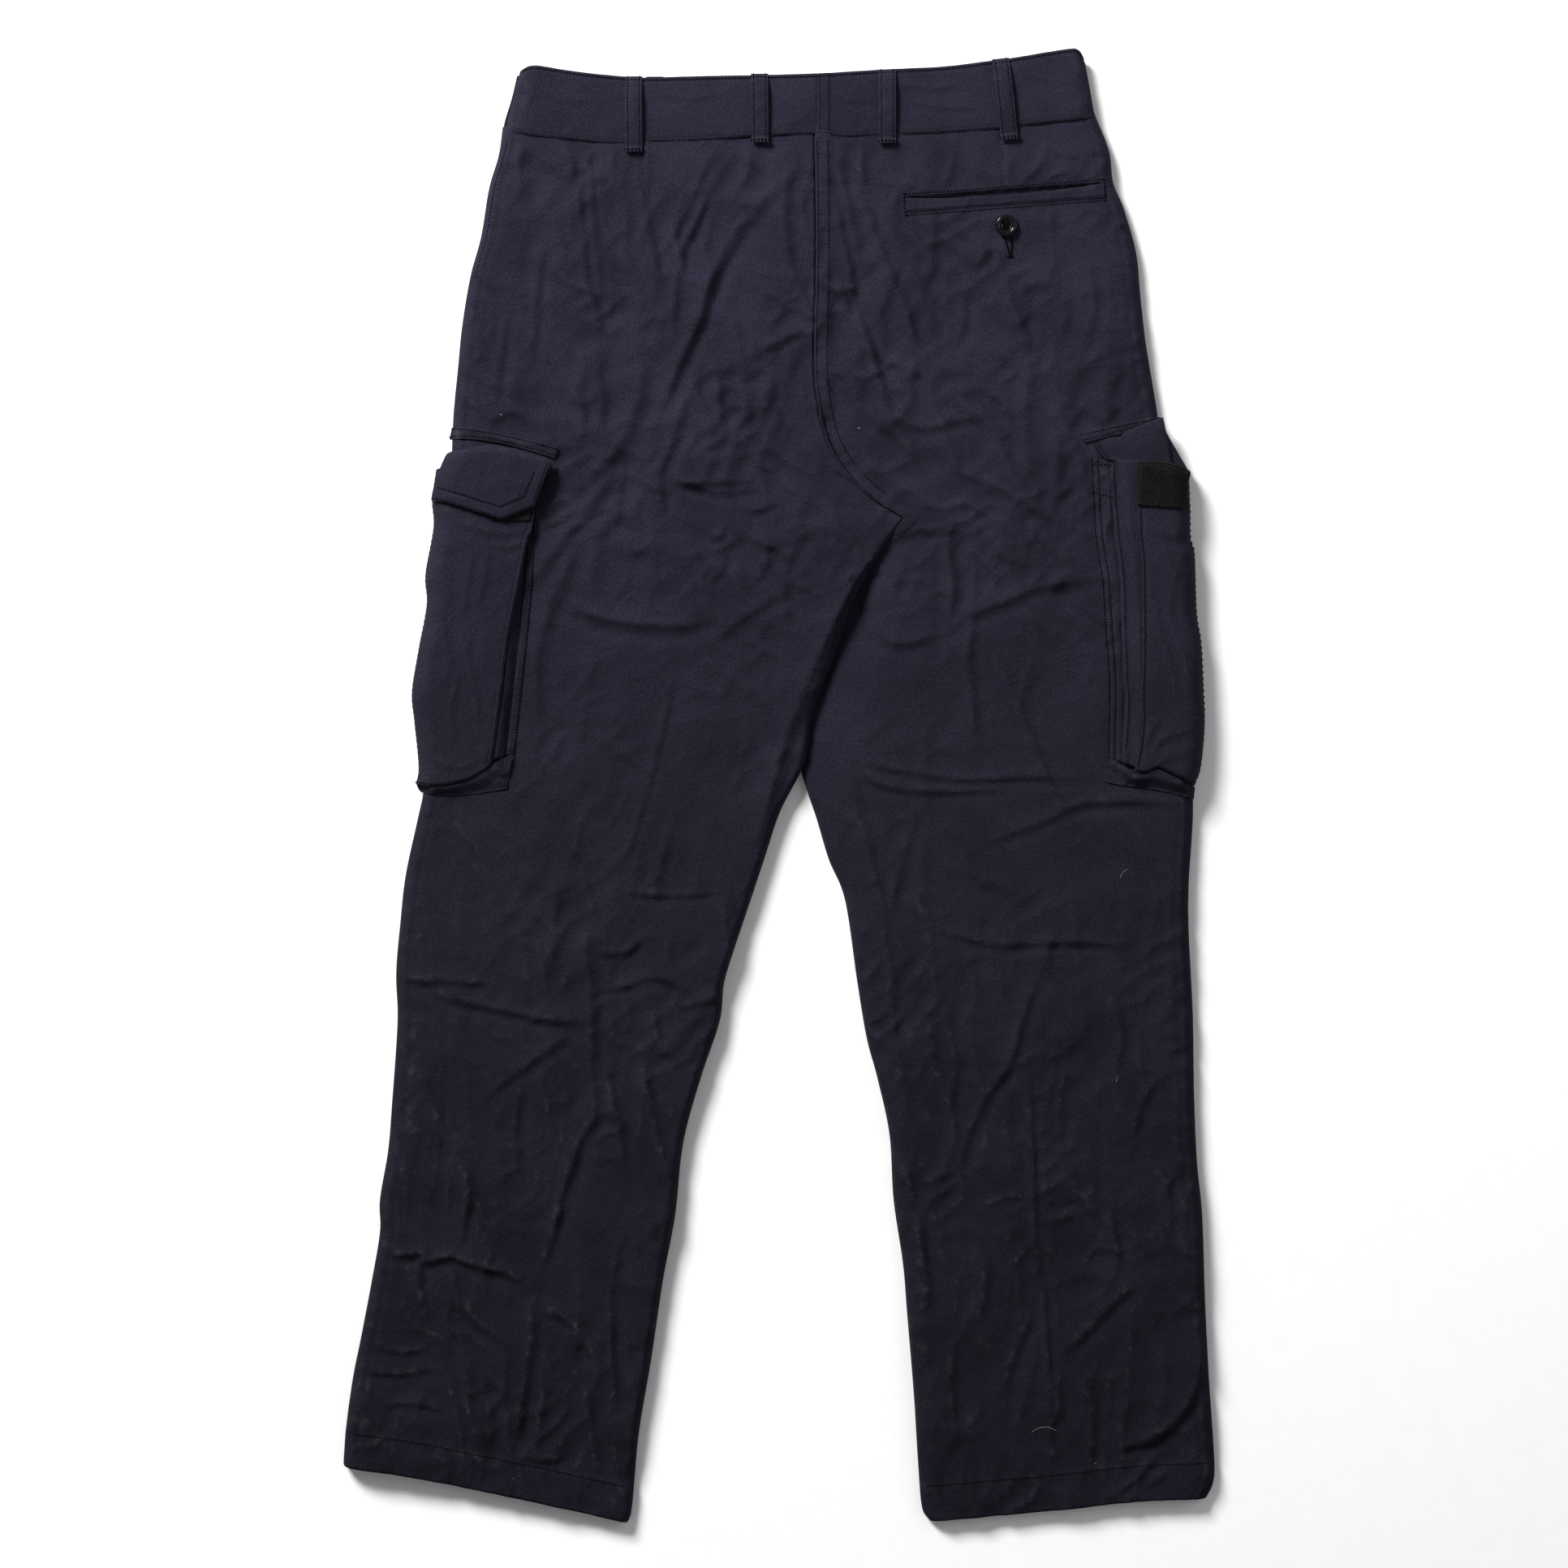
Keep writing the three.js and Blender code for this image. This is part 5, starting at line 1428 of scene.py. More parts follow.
def pocket_face_height(a, d, level, out, inner, base, folds, seed):
    """A full cargo pocket's face: flat on top, rolled over its outer side."""
    reach = crown(out(a, d), 15.0, 2.0)
    h = 3.2 + (level - 3.2) * reach
    inside = inner(a, d)
    h += (0.5 * fold_height(a, d, folds) + 1.3 * (noise(a / 26, d / 55, seed) - 0.5) + 0.16
        * ridged(a / 13, d / 34, seed + 1)) * reach * crown(inside, 6)
    h -= 1.0 * (1 - crown(inside, 1.6)) + 0.5 * bell(inside - 3.0, 0.7)
    h -= 1.4 * (1 - crown(base(a, d), 4.0)) * reach
    return h


left_out, left_in, left_base = nearest(L_OUT), nearest(L_IN), nearest(L_BASE)
right_out, right_in, right_base = nearest(R_OUT), nearest(R_IN), nearest(R_BASE)
LEFT_FACE, RIGHT_FACE = 21.4, 24.6


def left_face_height(a, d):
    return pocket_face_height(a, d, LEFT_FACE, left_out, left_in, left_base, L_POCKET_FOLDS, 81)


def right_face_height(a, d):
    h = pocket_face_height(a, d, RIGHT_FACE, right_out, right_in, right_base, R_POCKET_FOLDS, 83)
    return h - 0.8 * ease(6, 0, d - (287 + (a - 239) * 0.14))


def under_left(a, d):
    return left_height(a, d, sizes())


def under_right(a, d):
    return right_surface(a, d, sizes())


flap_low, flap_top = nearest(L_FLAP_LOW), nearest(L_FLAP_TOP)
flap_out, flap_in = nearest(L_FLAP_OUT), nearest(L_FLAP_IN)


def left_flap_height(a, d):
    """The buttonless flap of the left pocket: two layers, edge-stitched, over the pocket's mouth."""
    low, top, out, inside = flap_low(a, d), flap_top(a, d), flap_out(a, d), flap_in(a, d)
    h = 18.4 + 7.2 * crown(top, 9.0) - 9.5 * (1 - crown(out, 20.0, 1.8))
    h += 0.6 * crown(np.minimum(low, inside), 9) + 1.2 * (noise(a / 26, d / 18, 85) - 0.5)
    h += 0.3 * fold_height(a, d, [(1.1, 4.0, -258, 284, -262, 296, -268, 310), (1.0, 4.0, -246, 280, -247,
        300, -250, 316), (0.8, 4.0, -226, 284, -222, 300, -214, 312)])
    rim = np.minimum(low, inside)
    return h - 0.9 * (1 - crown(rim, 1.3)) - 0.5 * bell(rim - 8.0, 0.7)


def strip_net(edge, other, step_u, step_v, ends=(0.2, 0.7)):
    """A net between two lines that run down the garment."""
    e, o = (curve(x) if isinstance(x, list) else x for x in (edge, other))
    width, length = float(np.linalg.norm(e - along(o, np.linspace(0, 1, len(e))),
        axis=1).max()), length_of(e)
    return patch([tuple(e[0]), tuple(o[0])], [tuple(e[-1]), tuple(o[-1])], e, o, spread(width, step_u,
        ends), spread(length, step_v))


lid_out, lid_head, lid_side = nearest(R_FLAP_OUT), nearest(R_FLAP_TOP), nearest(R_FLAP_IN)


def right_lid_height(a, d):
    """The right pocket's flap, turned over at its top and tucked into the mouth."""
    rim = lid_side(a, d)
    return (16.2 + 2.3 * crown(lid_head(a, d), 9) - 2.2 * (1 - crown(lid_out(a, d), 9)) + 0.7
        * (noise(a / 16, d / 16, 91) - 0.5) - 2.4 * ease(285, 294, d) - 0.9 * (1 - crown(rim, 1.2)) - 0.5
        * bell(rim - 4.5, 0.7))


class TROUSER_OT_left_pocket(PieceOperator, bpy.types.Operator):
    """Left cargo pocket: face, bellows, base, top band, flap and the half that wraps under the leg"""
    bl_idname = "trouser.left_pocket"
    bl_label = "Left cargo pocket"

    def make(self, context):
        face_top = [(-280, 292), (-240, 289), (-201, 288)]
        net = patch(face_top, L_BASE, L_OUT, L_IN, spread(80.0, 1.25, (0.15, 0.5, 1.0, 1.8, 3)),
            spread(235.0, 1.5, (0.3, 0.8, 1.6)))
        a, d = places(net)
        z = left_face_height(a, d)
        # Rubbing on raised cloth, and painted highlight along the stitched inner side and base.
        wear = worn(z) + 0.7 * bell(left_in(a, d), 0.9) + 0.6 * bell(left_base(a, d), 1.2)
        twill_piece("left_pocket_front", net, z, 0.9, wear, (0, 290), "garment",
            ["left_pocket_face"])

        edge = curve(L_EDGE)
        inner = along(curve(L_IN), np.linspace(0, 1, 80)) + [-13, 0]
        net = strip_net(edge, inner, 0.9, 2.0)
        a, d = places(net)
        from_edge = nearest(edge)
        z = self.bellows(a, d, from_edge(a, d))
        # Rubbing on raised cloth, and painted highlight along the stitched edge.
        twill_piece("left_pocket_bellows", net[:, ::-1], z[:, ::-1], 0.8, (worn(z) + 0.7
            * bell(from_edge(a, d), 0.8))[:, ::-1], (0, 290), "garment",
            ["left_pocket_gusset"])
        for off in (0.9, 6.2):
            sew("garment", edge - [off, 0], lambda a, d: self.bellows(a, d, from_edge(a, d)))
        sew("garment", [(-222, 500), (-230, 499)], lambda a, d: self.bellows(a, d, from_edge(a, d)),
            lift=0.4)
        sew("garment", curve(L_IN)[30:] - [1.3, 0], left_face_height)
        sew("garment", curve(L_BASE) - [0, 1.4], left_face_height)

        base_low = [(-291, 531), (-270, 533.5), (-250, 532), (-227, 528.5)]
        base_top = np.vstack([curve(L_BASE) - [0, 0.6], [(-222.3, 502.5)]])
        net = patch(base_top, base_low, [tuple(base_top[0]), (-293, 529), (-291, 531)], [(-222.3, 502.5),
            (-224.5, 514.5), (-227, 528.5)], spread(75.0, 1.2, (0.3, 1.0)), spread(14.0, 0.7,
            (0.15, 0.5)))
        a, d = places(net)
        v = np.repeat(spread(14.0, 0.7, (0.15, 0.5))[:, None], net.shape[1], 1)
        out = ease(-294, -280, a)
        ground = np.maximum(under_left(np.clip(a, -285, 0), d) + 1.0, 4)
        top = mix(5.0, 19.4, out) - 2.6 * ease(-240, -225, a)
        z = mix(top, np.minimum(ground, top), ease(0.25, 1.0, v)) + 1.0 * fold_height(a, d,
            [(1.6, 2.2, -238, 511, -231, 520, -227, 528)])
        z += 0.6 * (noise(a / 7, d / 7, 87) - 0.5)
        twill_piece("left_pocket_bottom", net, z, 0.8, worn(z) + 0.6 * ease(0.86, 1, v), (0, 520),
            "garment", ["left_pocket_base_gusset"])

        net = patch(L_BAND_TOP, L_BAND_LOW, [L_BAND_TOP[0], L_BAND_LOW[0]], [L_BAND_TOP[-1],
            L_BAND_LOW[-1]], spread(82.0, 1.5, (0.3, 1.0)), spread(9.0, 0.6, (0.15, 0.5)))
        self.band("left_pocket_heading", net, L_BAND_TOP, L_BAND_LOW, under_left,
            ["left_pocket_top_band"], "left_leg_back")

        us, vs = spread(90.0, 1.1, (0.15, 0.5, 1.0)), spread(48.0, 1.0, (0.15, 0.5, 1.0, 2, 3, 4.5, 6))
        net = patch(L_FLAP_TOP, L_FLAP_LOW, L_FLAP_OUT, L_FLAP_IN, us, vs)
        a, d = places(net)
        z = left_flap_height(a, d)
        rim = np.minimum(np.minimum(flap_low(a, d), flap_in(a, d)), flap_out(a, d))
        # Rubbing on raised cloth, and painted highlight along the flap's stitched rim.
        twill_piece("left_pocket_lid", net, z, 1.5, worn(z, 0.7) + 0.7 * bell(rim, 1.0), (0, 280),
            "left_flap", ["left_pocket_flap"])
        inset = np.array([(-277, 306.5), (-270, 308.5), (-254, 313.5), (-231.5, 320.5), (-214, 313.5),
            (-206.5, 296)])
        sew("left_flap", along(inset, np.linspace(0, 1, 60)), left_flap_height)
        sew("left_flap", along(L_FLAP_LOW - [0, 1.5], np.linspace(0.02, 0.98, 60)), left_flap_height)
        sew("left_flap", [(-196.3, 289), (-200.5, 300), (-206.5, 317)], left_flap_height)

        pinned("left", L_OUT, ["left_pocket_pinned_half"], -1)

    @staticmethod
    def bellows(a, d, run):
        """From the stitched-down strip up to the fold that goes under the pocket's face."""
        ground = under_left(a, d) + 1.1
        h = mix(ground, 19.2, ease(6.0, 13.0, run))
        h -= 0.5 * bell(run - 1.8, 0.6) + 0.9 * bell(run - 6.4, 0.9)
        return h - 0.6 * (1 - crown(run, 0.9)) + 0.7 * (noise(a / 5, d / 30, 86) - 0.5) * ease(3, 8, run)

    @staticmethod
    def band(name, net, top, low, ground, nodes, on):
        """The narrow band that holds the top of a pocket's flap, with a row of stitching on it."""
        above, below = nearest(top), nearest(low)

        def height(a, d):
            h = ground(a, d) + 1.5 + 0.5 * (noise(a / 9, d / 6, 88) - 0.5)
            return h - 0.9 * (1 - crown(above(a, d), 1.3)) - 0.6 * (1 - crown(below(a, d),
                1.0)) - 0.45 * bell(below(a, d) - 2.0, 0.6)
        z = height(*places(net))
        # Rubbing on raised cloth, and painted highlight along the band's stitched top edge.
        twill_piece(name, net, z, 1.4, worn(z, 0.8) + 0.5 * bell(above(*places(net)), 0.8), (0, 262),
            "garment", nodes)
        line = curve(low) - [0, 2.0]
        sew("garment", line, height)
        sew("garment", curve(top) + [0, 1.3], height)


def pinned(side, outline, nodes, sign):
    """The half of a cargo pocket that lies flat under the leg."""
    out = curve(outline)
    net = strip_net(out + [-0.3 * sign, 0], out - [sign * 62, 0], 3.0, 4.0)
    if sign > 0:
        net = net[:, ::-1]
    z = 1.05 + 0.12 * noise(net[..., 0] / 12, net[..., 1] / 12, 89)
    rise_out = nearest(out)(*places(net))
    z = z + 2.2 * (1 - crown(rise_out, 5.0))
    twill_piece(side + "_pocket_underside", net, z, 0.7, None, (0, 290), "garment", nodes)


class TROUSER_OT_right_pocket(PieceOperator, bpy.types.Operator):
    """Right cargo pocket: open at its mouth, with the flap tucked in and its loop strip showing"""
    bl_idname = "trouser.right_pocket"
    bl_label = "Right cargo pocket"

    def make(self, context):
        net = patch(R_TOP, R_BASE, R_IN, R_OUT, spread(46.0, 1.1, (0.15, 0.5, 1.0, 1.8, 3)), spread(232.0,
            1.5, (0.2, 0.6, 1.2)))
        a, d = places(net)
        z = right_face_height(a, d)
        # Rubbing on raised cloth, and painted highlight along the stitched inner side and base.
        wear = worn(z) + 0.7 * bell(right_in(a, d), 0.9) + 0.6 * bell(right_base(a, d), 1.2)
        piece = cloth("right_pocket_front_panel", net, z, material("folded"), 0.9, wear, (0, 290))
        finish_piece(piece, "twill_folded", None, ["right_pocket_face"])
        bend_at_base(piece)
        sew("right_pocket_front", curve(R_IN)[2:-4] + [1.3, 0], right_face_height)
        sew("right_pocket_front", along(R_BASE - [0, 1.5], np.linspace(0.05, 0.97, 60)),
            right_face_height)

        edge = nearest(R_EDGE)
        pleat, tip = nearest(R_PLEAT), curve(R_IN)
        inner = tip + [13, 0]
        net = strip_net(R_EDGE, inner, 0.9, 2.0)
        a, d = places(net)
        fold = across_at(R_PLEAT)
        height = lambda a, d: self.bellows(a, d, edge(a, d), a - fold(np.clip(d, 288, 498)))
        z = height(a, d)
        # Rubbing on raised cloth, and painted highlight along the stitched edge and the pleat.
        twill_piece("right_pocket_bellows", net, z, 0.8, worn(z) + 0.6 * bell(edge(a, d), 0.8) + 0.4
            * bell(pleat(a, d), 1.0), (0, 290), "garment",
            ["right_pocket_gusset"])
        for off in (0.9, 6.0):
            sew("garment", curve(R_EDGE) + [off, 0], height)
        sew("garment", curve(R_PLEAT) + [1.2, 0], height)
        sew("garment", [(205, 289), (219, 289.5)], height)
        sew("garment", [(205.5, 310), (220, 313)], height)

        top = np.array([(216, 506), (222, 507.4), (235.5, 517), (244, 517.6), (253, 513.6), (281.9, 527)])
        low = [(213.2, 520.7), (217.3, 523.9), (239.2, 527.5), (262, 531), (280.8, 536.3)]
        vs = spread(14.0, 0.7, (0.15, 0.5))
        net = patch(top, low, [(216, 506), (213.6, 513), (213.2, 520.7)], [(281.9, 527), (280.8, 536.3)],
            spread(75.0, 1.2, (0.3, 1.0)), vs)
        a, d = places(net)
        v = np.repeat(vs[:, None], net.shape[1], 1)
        ground = np.maximum(under_right(np.clip(a, 0, 268), d) + 1.0, 4)
        high = mix(16.8, 22.6, ease(222, 236, a)) * ease(290, 268, a) + 4.0 * ease(268, 290, a)
        z = mix(high, np.minimum(ground, high), ease(0.3, 1.0, v)) + fold_height(a, d,
            [(1.8, 2.4, 217, 508, 226, 514, 234, 520), (1.2, 2.5, 234, 518, 238, 523, 240, 527)])
        z += 0.6 * (noise(a / 7, d / 7, 90) - 0.5)
        twill_piece("right_pocket_bottom", net, z, 0.8, worn(z) + 0.6 * ease(0.86, 1, v), (0, 520),
            "garment", ["right_pocket_base_gusset"])

        net = patch(R_BAND_TOP, R_BAND_LOW, [R_BAND_TOP[0], R_BAND_LOW[0]], [R_BAND_TOP[-1],
            R_BAND_LOW[-1]], spread(62.0, 1.4, (0.3, 1.0)), spread(8.5, 0.6, (0.15, 0.5)))
        TROUSER_OT_left_pocket.band("right_pocket_heading", net, R_BAND_TOP, R_BAND_LOW, under_right,
            ["right_pocket_top_band"], "right_leg_back")

        net = patch(R_FLAP_TOP, [(237, 306), (252, 308), (266, 310)], R_FLAP_IN, R_FLAP_OUT,
            spread(56.0, 1.2, (0.2, 0.8)), spread(52.0, 1.3, (0.2, 0.7, 1.5)))
        flap = right_lid_height
        z = flap(*places(net))
        rim = np.minimum(lid_side(*places(net)), lid_head(*places(net)))
        # Rubbing on raised cloth, and painted highlight along the flap's stitched rim.
        twill_piece("right_pocket_lid", net, z, 1.4, worn(z, 0.7) + 0.5 * bell(rim, 0.9), (0, 280),
            "right_flap", ["right_pocket_flap"])
        sew("right_flap", [(209.5, 274.5), (216.5, 284), (224, 288)], flap)
        sew("right_flap", [(206.6, 275.0), (213.4, 284.2), (219.6, 287)], flap)

        side = [(256.5, 256), (263, 268), (270, 280), (277.2, 292.6)]
        net = patch([(255.5, 256), (256.5, 256)], [(262, 300), (277.2, 300)], [(255.5, 256), (262, 300)],
            np.vstack([curve(side), [(277.2, 300)]]), spread(15.0, 1.4, (0.3,)), spread(44.0, 1.6))
        z = 5.0 + 9.0 * crown(nearest(side)(*places(net)), 9) + 0.6 * noise(net[..., 0] / 8, net[..., 1]
            / 8, 92)
        twill_piece("right_pocket_mouth_side", net, z, 0.8, worn(z), (0, 280), "garment")
        pinned("right", R_OUT, ["right_pocket_pinned_half"], 1)

    @staticmethod
    def bellows(a, d, run, past):
        """Stitched strip, then the pleat, then the rise to the pocket's face."""
        ground = under_right(a, d) + 1.1
        h = mix(ground, 18.4, ease(-1.2, 1.2, past) * 0.75)
        h = mix(h, 22.6, ease(3.0, 11.0, past))
        h -= 0.6 * bell(run - 2.0, 0.6) + 0.8 * bell(run - 6.2, 0.8)
        h -= 0.7 * bell(past + 1.6, 1.0)
        return h - 0.6 * (1 - crown(run, 0.9)) + 0.8 * (noise(a / 5, d / 34, 93) - 0.5) * ease(2, 8, run)


class TROUSER_OT_hook_and_loop(PieceOperator, bpy.types.Operator):
    """Loop strip on the right pocket, with its pile, and the strips that stay hidden"""
    bl_idname = "trouser.hook_and_loop"
    bl_label = "Hook and loop"

    def make(self, context):
        left, right = [(238.0, 286.8), (237.6, 320.3)], [(277.6, 292.8), (278.0, 322.6)]
        net = patch([left[0], (257, 287.4), right[0]], [left[1], (258, 321.6), right[1]], left, right,
            spread(41.0, 1.2, (0.2, 0.6)), spread(34.0, 1.2, (0.2, 0.6)))
        inner, ends = nearest(left), nearest([left[0], (257, 287.4), right[0]])
        low = nearest([left[1], (258, 321.6), right[1]])

        def height(a, d):
            rim = np.minimum(np.minimum(inner(a, d), ends(a, d)), low(a, d))
            return right_face_height(a, d) + 1.6 + 0.3 * crown(rim, 2.5) - 0.7 * (1 - crown(rim, 0.8))
        z = height(*places(net))
        piece = cloth("right_pocket_loop_tape", net, z, material("tape"), 1.1, None, (0, 290))
        finish_piece(piece, "hook_and_loop", "right_pocket_front",
            ["right_pocket_loop_strip"])
        sew("tape", [(239.4, 288.4), (258, 289.0), (276.6, 294.2)], height, lift=0.25)
        sew("tape", [(239.0, 289.4), (238.8, 319)], height, lift=0.25)
        sew("tape", [(239.6, 319), (258, 320.2), (276.6, 321.2)], height, lift=0.25)
        field = patch([(240.4, 289.8), (258, 290.4), (275.8, 295.6)], [(240.2, 317.6), (258, 318.8),
            (276.2, 320)], [(240.4, 289.8), (240.2, 317.6)], [(275.8, 295.6), (276.2, 320)],
            spread(36.0, 2.0), spread(29.0, 2.0))
        p = to_model(*places(field), height(*places(field)) - 0.05)
        rows, cols = p.shape[:2]
        i = np.arange(rows * cols).reshape(rows, cols)
        faces = np.stack([i[:-1, :-1], i[1:, :-1], i[1:, 1:], i[:-1, 1:]], -1).reshape(-1, 4).tolist()
        pile = grown("right_pocket_pile", pile_tree(), p.reshape(-1, 3), [], faces, Density=1.9e6,
            Height=sizes().pile_height, Thickness=0.00017, Lean=0.75, Seed=9, Material=material("pile"))
        finish_piece(pile, "hook_and_loop", "right_pocket_front")
        surfaces = {"left_face_height": left_face_height, "left_flap_height": left_flap_height,
            "right_lid_height": right_lid_height}
        for name, ((low_a, high_a), (low_d, high_d), lift, surface, body, node) in HIDDEN_TAPES.items():
            top, bottom = [(low_a, low_d), (high_a, low_d)], [(low_a, high_d), (high_a, high_d)]
            net = patch(top, bottom, [top[0], bottom[0]], [top[1], bottom[1]], spread(high_a - low_a,
                1.5), spread(high_d - low_d, 1.5))
            z = surfaces[surface](*places(net)) + lift
            strip = cloth(name, net, z, material("tape"), 1.0, None, (0, 290))
            finish_piece(strip, "hook_and_loop", body, [node])


HIDDEN_TAPES = {"left_pocket_loop_tape": ((-238, -209), (300, 331), 1.2, "left_face_height", "garment",
    "left_pocket_loop_strip"), "left_pocket_hook_tape": ((-264, -216), (290, 310), -2.6,
    "left_flap_height", "left_flap", "left_pocket_hook_strip"), "right_pocket_hook_tape": ((236, 260),
    (293, 307), -2.6, "right_lid_height", "right_flap", "right_pocket_hook_strip")}
NODE_FINISHES = {"brass": ["zip_chain", "zip_slider", "zip_pull"], "tape": ["zip_tape_left",
    "zip_tape_right"], "button": ["waist_button"], "solid_twill": ["fly_shield", "belt_loop_front_left",
    "belt_loop_front_right"], "pocketing": ["hand_pocket_bag_left", "hand_pocket_bag_right"]}


class TROUSER_OT_fly(PieceOperator, bpy.types.Operator):
    """Fly, hidden tapes, hand pocket bags and front loops, which keep their shape and get their finish"""
    bl_idname = "trouser.fly"
    bl_label = "Fly and inner pieces"

    def make(self, context):
        for kind, names in NODE_FINISHES.items():
            for name in names:
                mesh = frame["nodes"][name].data
                mesh.materials.clear()
                mesh.materials.append(material(kind))


class TROUSER_OT_stitching(PieceOperator, bpy.types.Operator):
    """All the sewing: rows of thread along the seams, hems, loops and pockets"""
    bl_idname = "trouser.stitching"
    bl_label = "Stitching"

    def make(self, context):
        s = sizes()
        left = lambda a, d: left_height(a, d, s)
        right = lambda a, d: right_surface(a, d, s)
        sew("left_leg", beside(left_edge, 5.0, 50, 150), left)
        hem = s.hem * 1000
        a = np.linspace(-343, -141, 90)
        sew("left_leg", np.column_stack([a, left_hem(a) - hem]), left)
        a = np.linspace(84, 291, 90)
        sew("right_leg", np.column_stack([a, right_hem(a) - hem]), right)
        sew("garment", [(-127, 54), (-126, 90)], left, lift=0.0)
        sew("garment", [(138, 45), (141, 83)], right, lift=0.0)
        line = along(RISE_LINE, np.linspace(0, 1, 200))
        step = np.gradient(line, axis=0)
        step /= np.linalg.norm(step, axis=1, keepdims=True)
        out = np.column_stack([step[:, 1], -step[:, 0]])
        for off in (1.8, 9.6):
            row = line + out * off
            sew("garment", row[(line[:, 1] > 50) & (line[:, 1] < 318)], right)
        a = np.linspace(-214, 197, 260)
        sew("garment", np.column_stack([a, band_top(a) + 2.2]), band_height)
        a = np.linspace(-225, 206, 260)
        sew("garment", np.column_stack([a, band_seam(a) - 1.4]), band_height)
        for hair in ([(161, 1004), (166, 1001), (173, 1000), (179, 1003)], [(226, 594), (228, 590),
                (231, 588)], [(223, 745), (224, 741)]):
            sew("right_leg_lint", hair, right, 0.4, 0.25)
        for off in (4.0, 11.0):
            d = np.linspace(float(band_top(off)) + 2, float(band_seam(off)) - 2, 30)
            sew("garment", np.column_stack([np.full(30, off), d]), band_height)
        groups = {"garment": ("garment", "thread", 1.0), "left_leg": (None, "thread", 1.0),
            "right_leg": (None, "thread", 1.0), "left_flap": ("left_flap", "thread", 1.0),
            "right_flap": ("right_flap", "thread", 1.0), "right_pocket_front": (None, "thread", 1.0),
            "tape": ("right_pocket_front", "worked_thread", 1.0), "buttonhole": ("garment",
            "worked_thread", 0.42), "button": ("garment", "worked_thread", 0.4), "right_leg_lint": (None,
            "lint", 0.2)}
        for key, (body, kind, share) in groups.items():
            rows = STITCH_ROWS.pop(key)
            verts = np.vstack(rows)
            edges, n = [], 0
            for row in rows:
                edges += [(n + k, n + k + 1) for k in range(len(row) - 1)]
                n += len(row)
            across = s.stitch_width * {1.0: 1.0, 0.2: 0.3}.get(share, 1.5)
            piece = grown("stitches_" + key, stitch_tree(), verts, edges, [], Pitch=s.stitch_pitch
                * share, Length=s.stitch_length * (share if share == 1 else share * 1.5), Width=across,
                Slack=0.08 if share == 1 else 0.5, Seed=4, Material=material(kind))
            finish_piece(piece, "thread", body)
            if key == "right_pocket_front":
                bend_at_base(piece)
            elif body is None:
                fold_at_knee(piece, key.split("_")[0])


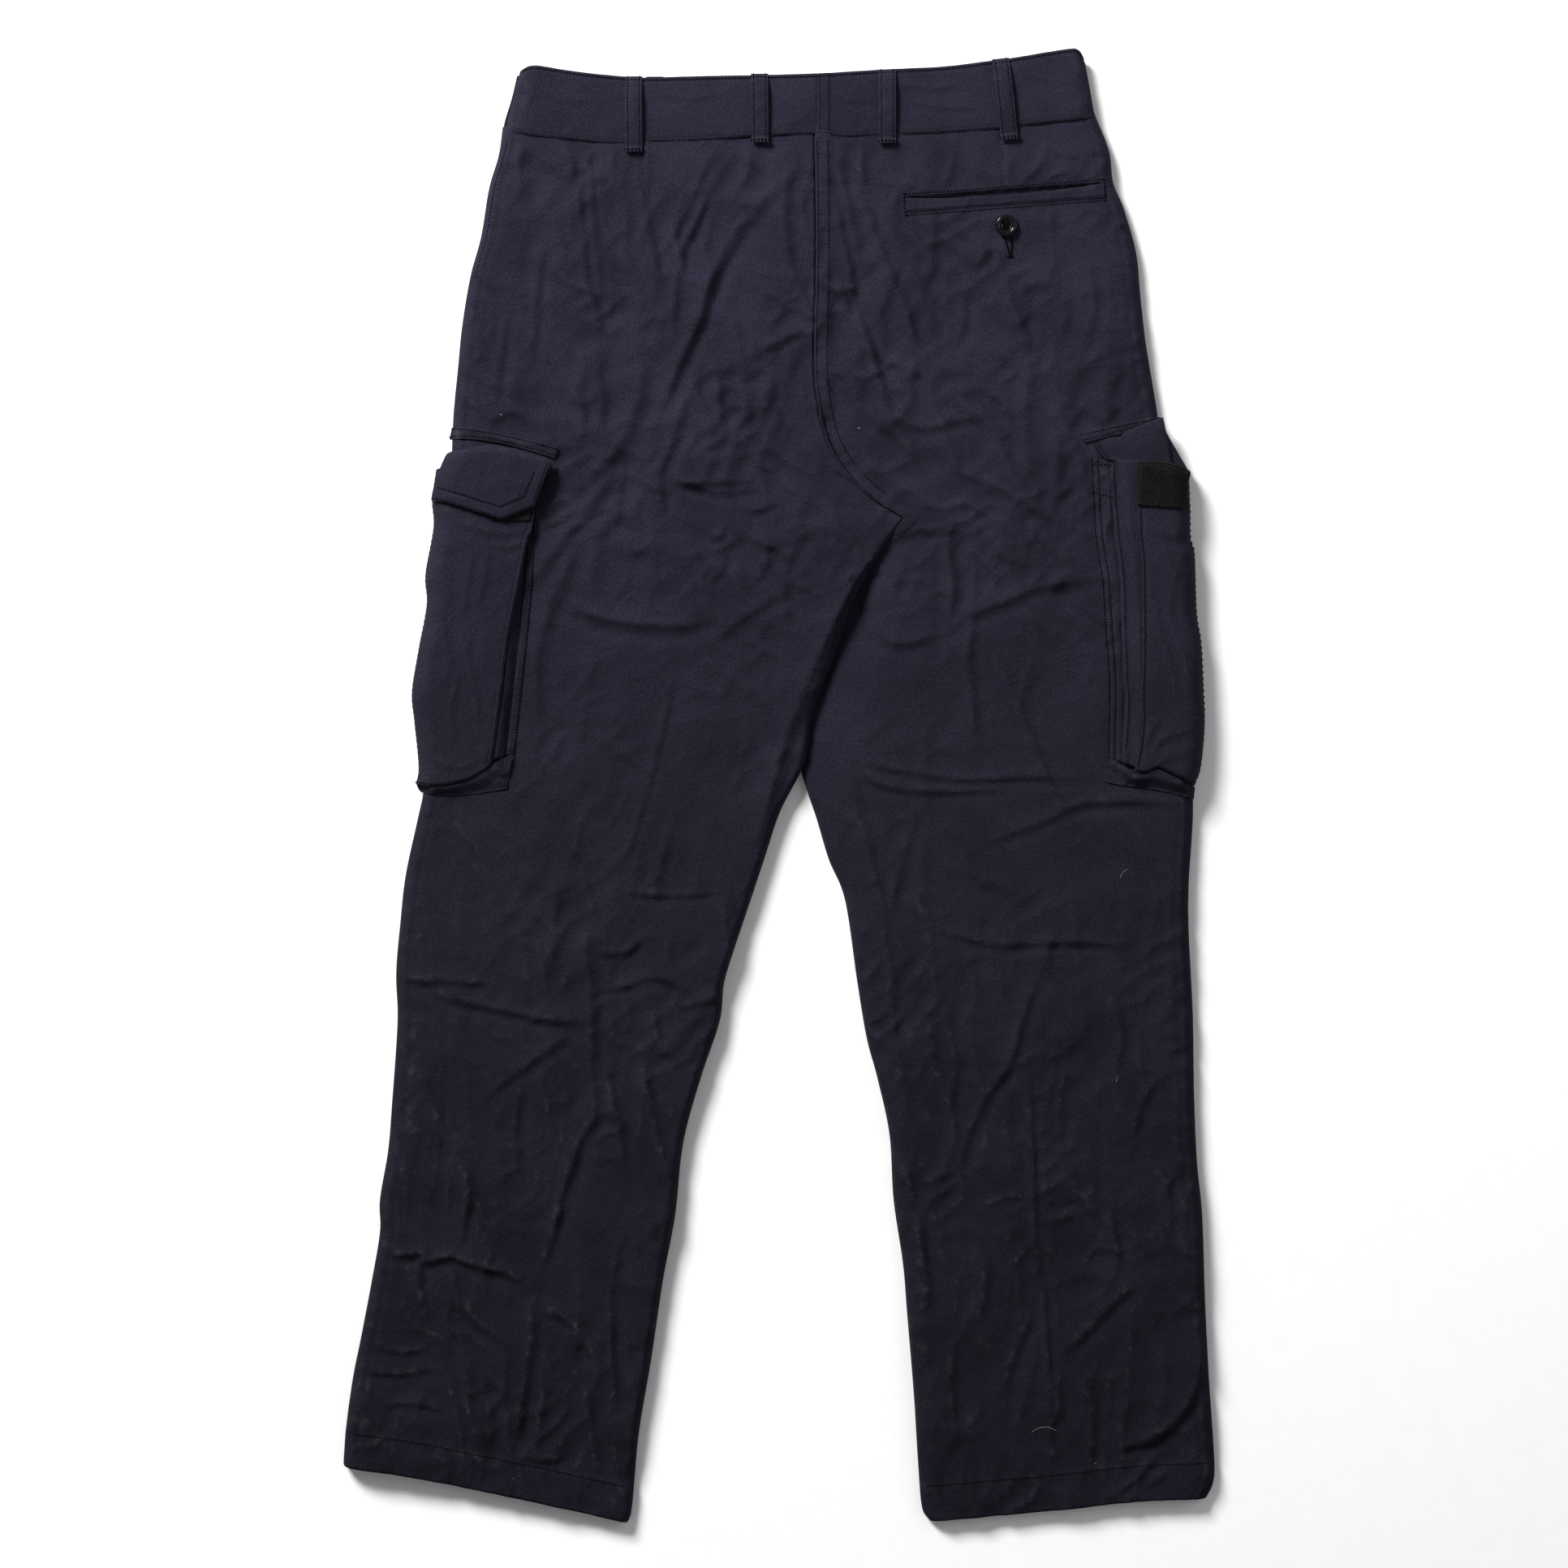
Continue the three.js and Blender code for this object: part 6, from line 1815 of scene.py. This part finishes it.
class TROUSER_OT_stage(PieceOperator, bpy.types.Operator):
    """Pale floor, soft studio lights and the camera straight above"""
    bl_idname = "trouser.stage"
    bl_label = "Stage"

    def make(self, context):
        scene, given = bpy.context.scene, stage()
        bpy.ops.mesh.primitive_plane_add(size=12, location=(0, 0, -0.0006))
        floor = bpy.context.object
        floor.name = "floor"
        finish, tree, shader = base_material("Pale floor")
        place = put(tree, "ShaderNodeTexCoord").outputs["Object"]
        grain = put(tree, "ShaderNodeTexNoise", Vector=place, Scale=60.0, Detail=3.0).outputs["Fac"]
        tree.links.new(blend_colour(tree, ramp(tree, grain, 0.3, 0.7), tuple(c * 0.985 for c
            in given.floor) + (1,), tuple(given.floor) + (1,)), shader.inputs["Base Color"])
        constants(shader, Roughness=0.9, Specular_IOR_Level=0.2)
        floor.data.materials.append(finish)
        world = bpy.data.worlds.new("Soft room")
        world.use_nodes = True
        world.node_tree.nodes["Background"].inputs[0].default_value = (0.97, 0.985, 1.0, 1)
        world.node_tree.nodes["Background"].inputs[1].default_value = given.fill
        scene.world = world
        low, high = (Vector(v) for v in CAD_BOX)
        middle = (low + high) / 2
        for name, power, size, place, aim in (("key", given.key_power, 1.3, (-2.1, 2.8, 2.3), (0, 0, 0)),
                ("side", given.key_power * 0.03, 1.6, (1.9, 0.6, 1.5), (0, 0, 0))):
            light = bpy.data.lights.new(name, "AREA")
            light.energy, light.size = power, size
            lamp = bpy.data.objects.new(name, light)
            scene.collection.objects.link(lamp)
            lamp.location = middle + Vector(place)
            lamp.rotation_euler = (Vector(aim) + middle - lamp.location).to_track_quat("-Z",
                "Y").to_euler()
        camera = bpy.data.cameras.new("camera")
        camera.lens, camera.sensor_width = given.lens, 36.0
        eye = bpy.data.objects.new("camera", camera)
        scene.collection.objects.link(eye)
        eye.location = (0.0063, 0.0010, 0.012 + given.frame_width * given.lens / 36.0)
        scene.camera = eye
        scene.view_settings.view_transform = "Standard"


class TROUSER_PT_pieces(bpy.types.Panel):
    """Lists the makers in the sidebar"""
    bl_idname = "TROUSER_PT_pieces"
    bl_label = "Cargo trousers"
    bl_space_type = "VIEW_3D"
    bl_region_type = "UI"
    bl_category = "Trousers"

    def draw(self, context):
        for maker in MAKERS:
            self.layout.operator(maker.bl_idname)
        for group_name in ("trouser_sizes", "trouser_finish", "trouser_stage"):
            settings = getattr(context.scene, group_name)
            box = self.layout.box()
            for key in settings.__annotations__:
                box.prop(settings, key)


SETTINGS = {"trouser_sizes": TrouserSizes, "trouser_finish": TrouserFinish, "trouser_stage": TrouserStage}
MAKERS = (TROUSER_OT_stage, TROUSER_OT_fronts, TROUSER_OT_backs, TROUSER_OT_waistband,
    TROUSER_OT_belt_loops, TROUSER_OT_back_pocket, TROUSER_OT_button, TROUSER_OT_left_pocket,
    TROUSER_OT_right_pocket, TROUSER_OT_hook_and_loop, TROUSER_OT_fly, TROUSER_OT_stitching)


def register():
    for cls in tuple(SETTINGS.values()) + MAKERS + (TROUSER_PT_pieces,):
        bpy.utils.register_class(cls)
    for name, cls in SETTINGS.items():
        setattr(bpy.types.Scene, name, bpy.props.PointerProperty(type=cls))


def unregister():
    for name in SETTINGS:
        delattr(bpy.types.Scene, name)
    for cls in reversed(tuple(SETTINGS.values()) + MAKERS + (TROUSER_PT_pieces,)):
        bpy.utils.unregister_class(cls)


def main():
    register()
    for maker in MAKERS:
        area, piece = maker.bl_idname.split(".")
        getattr(getattr(bpy.ops, area), piece)()


if __name__ == "__main__":
    main()
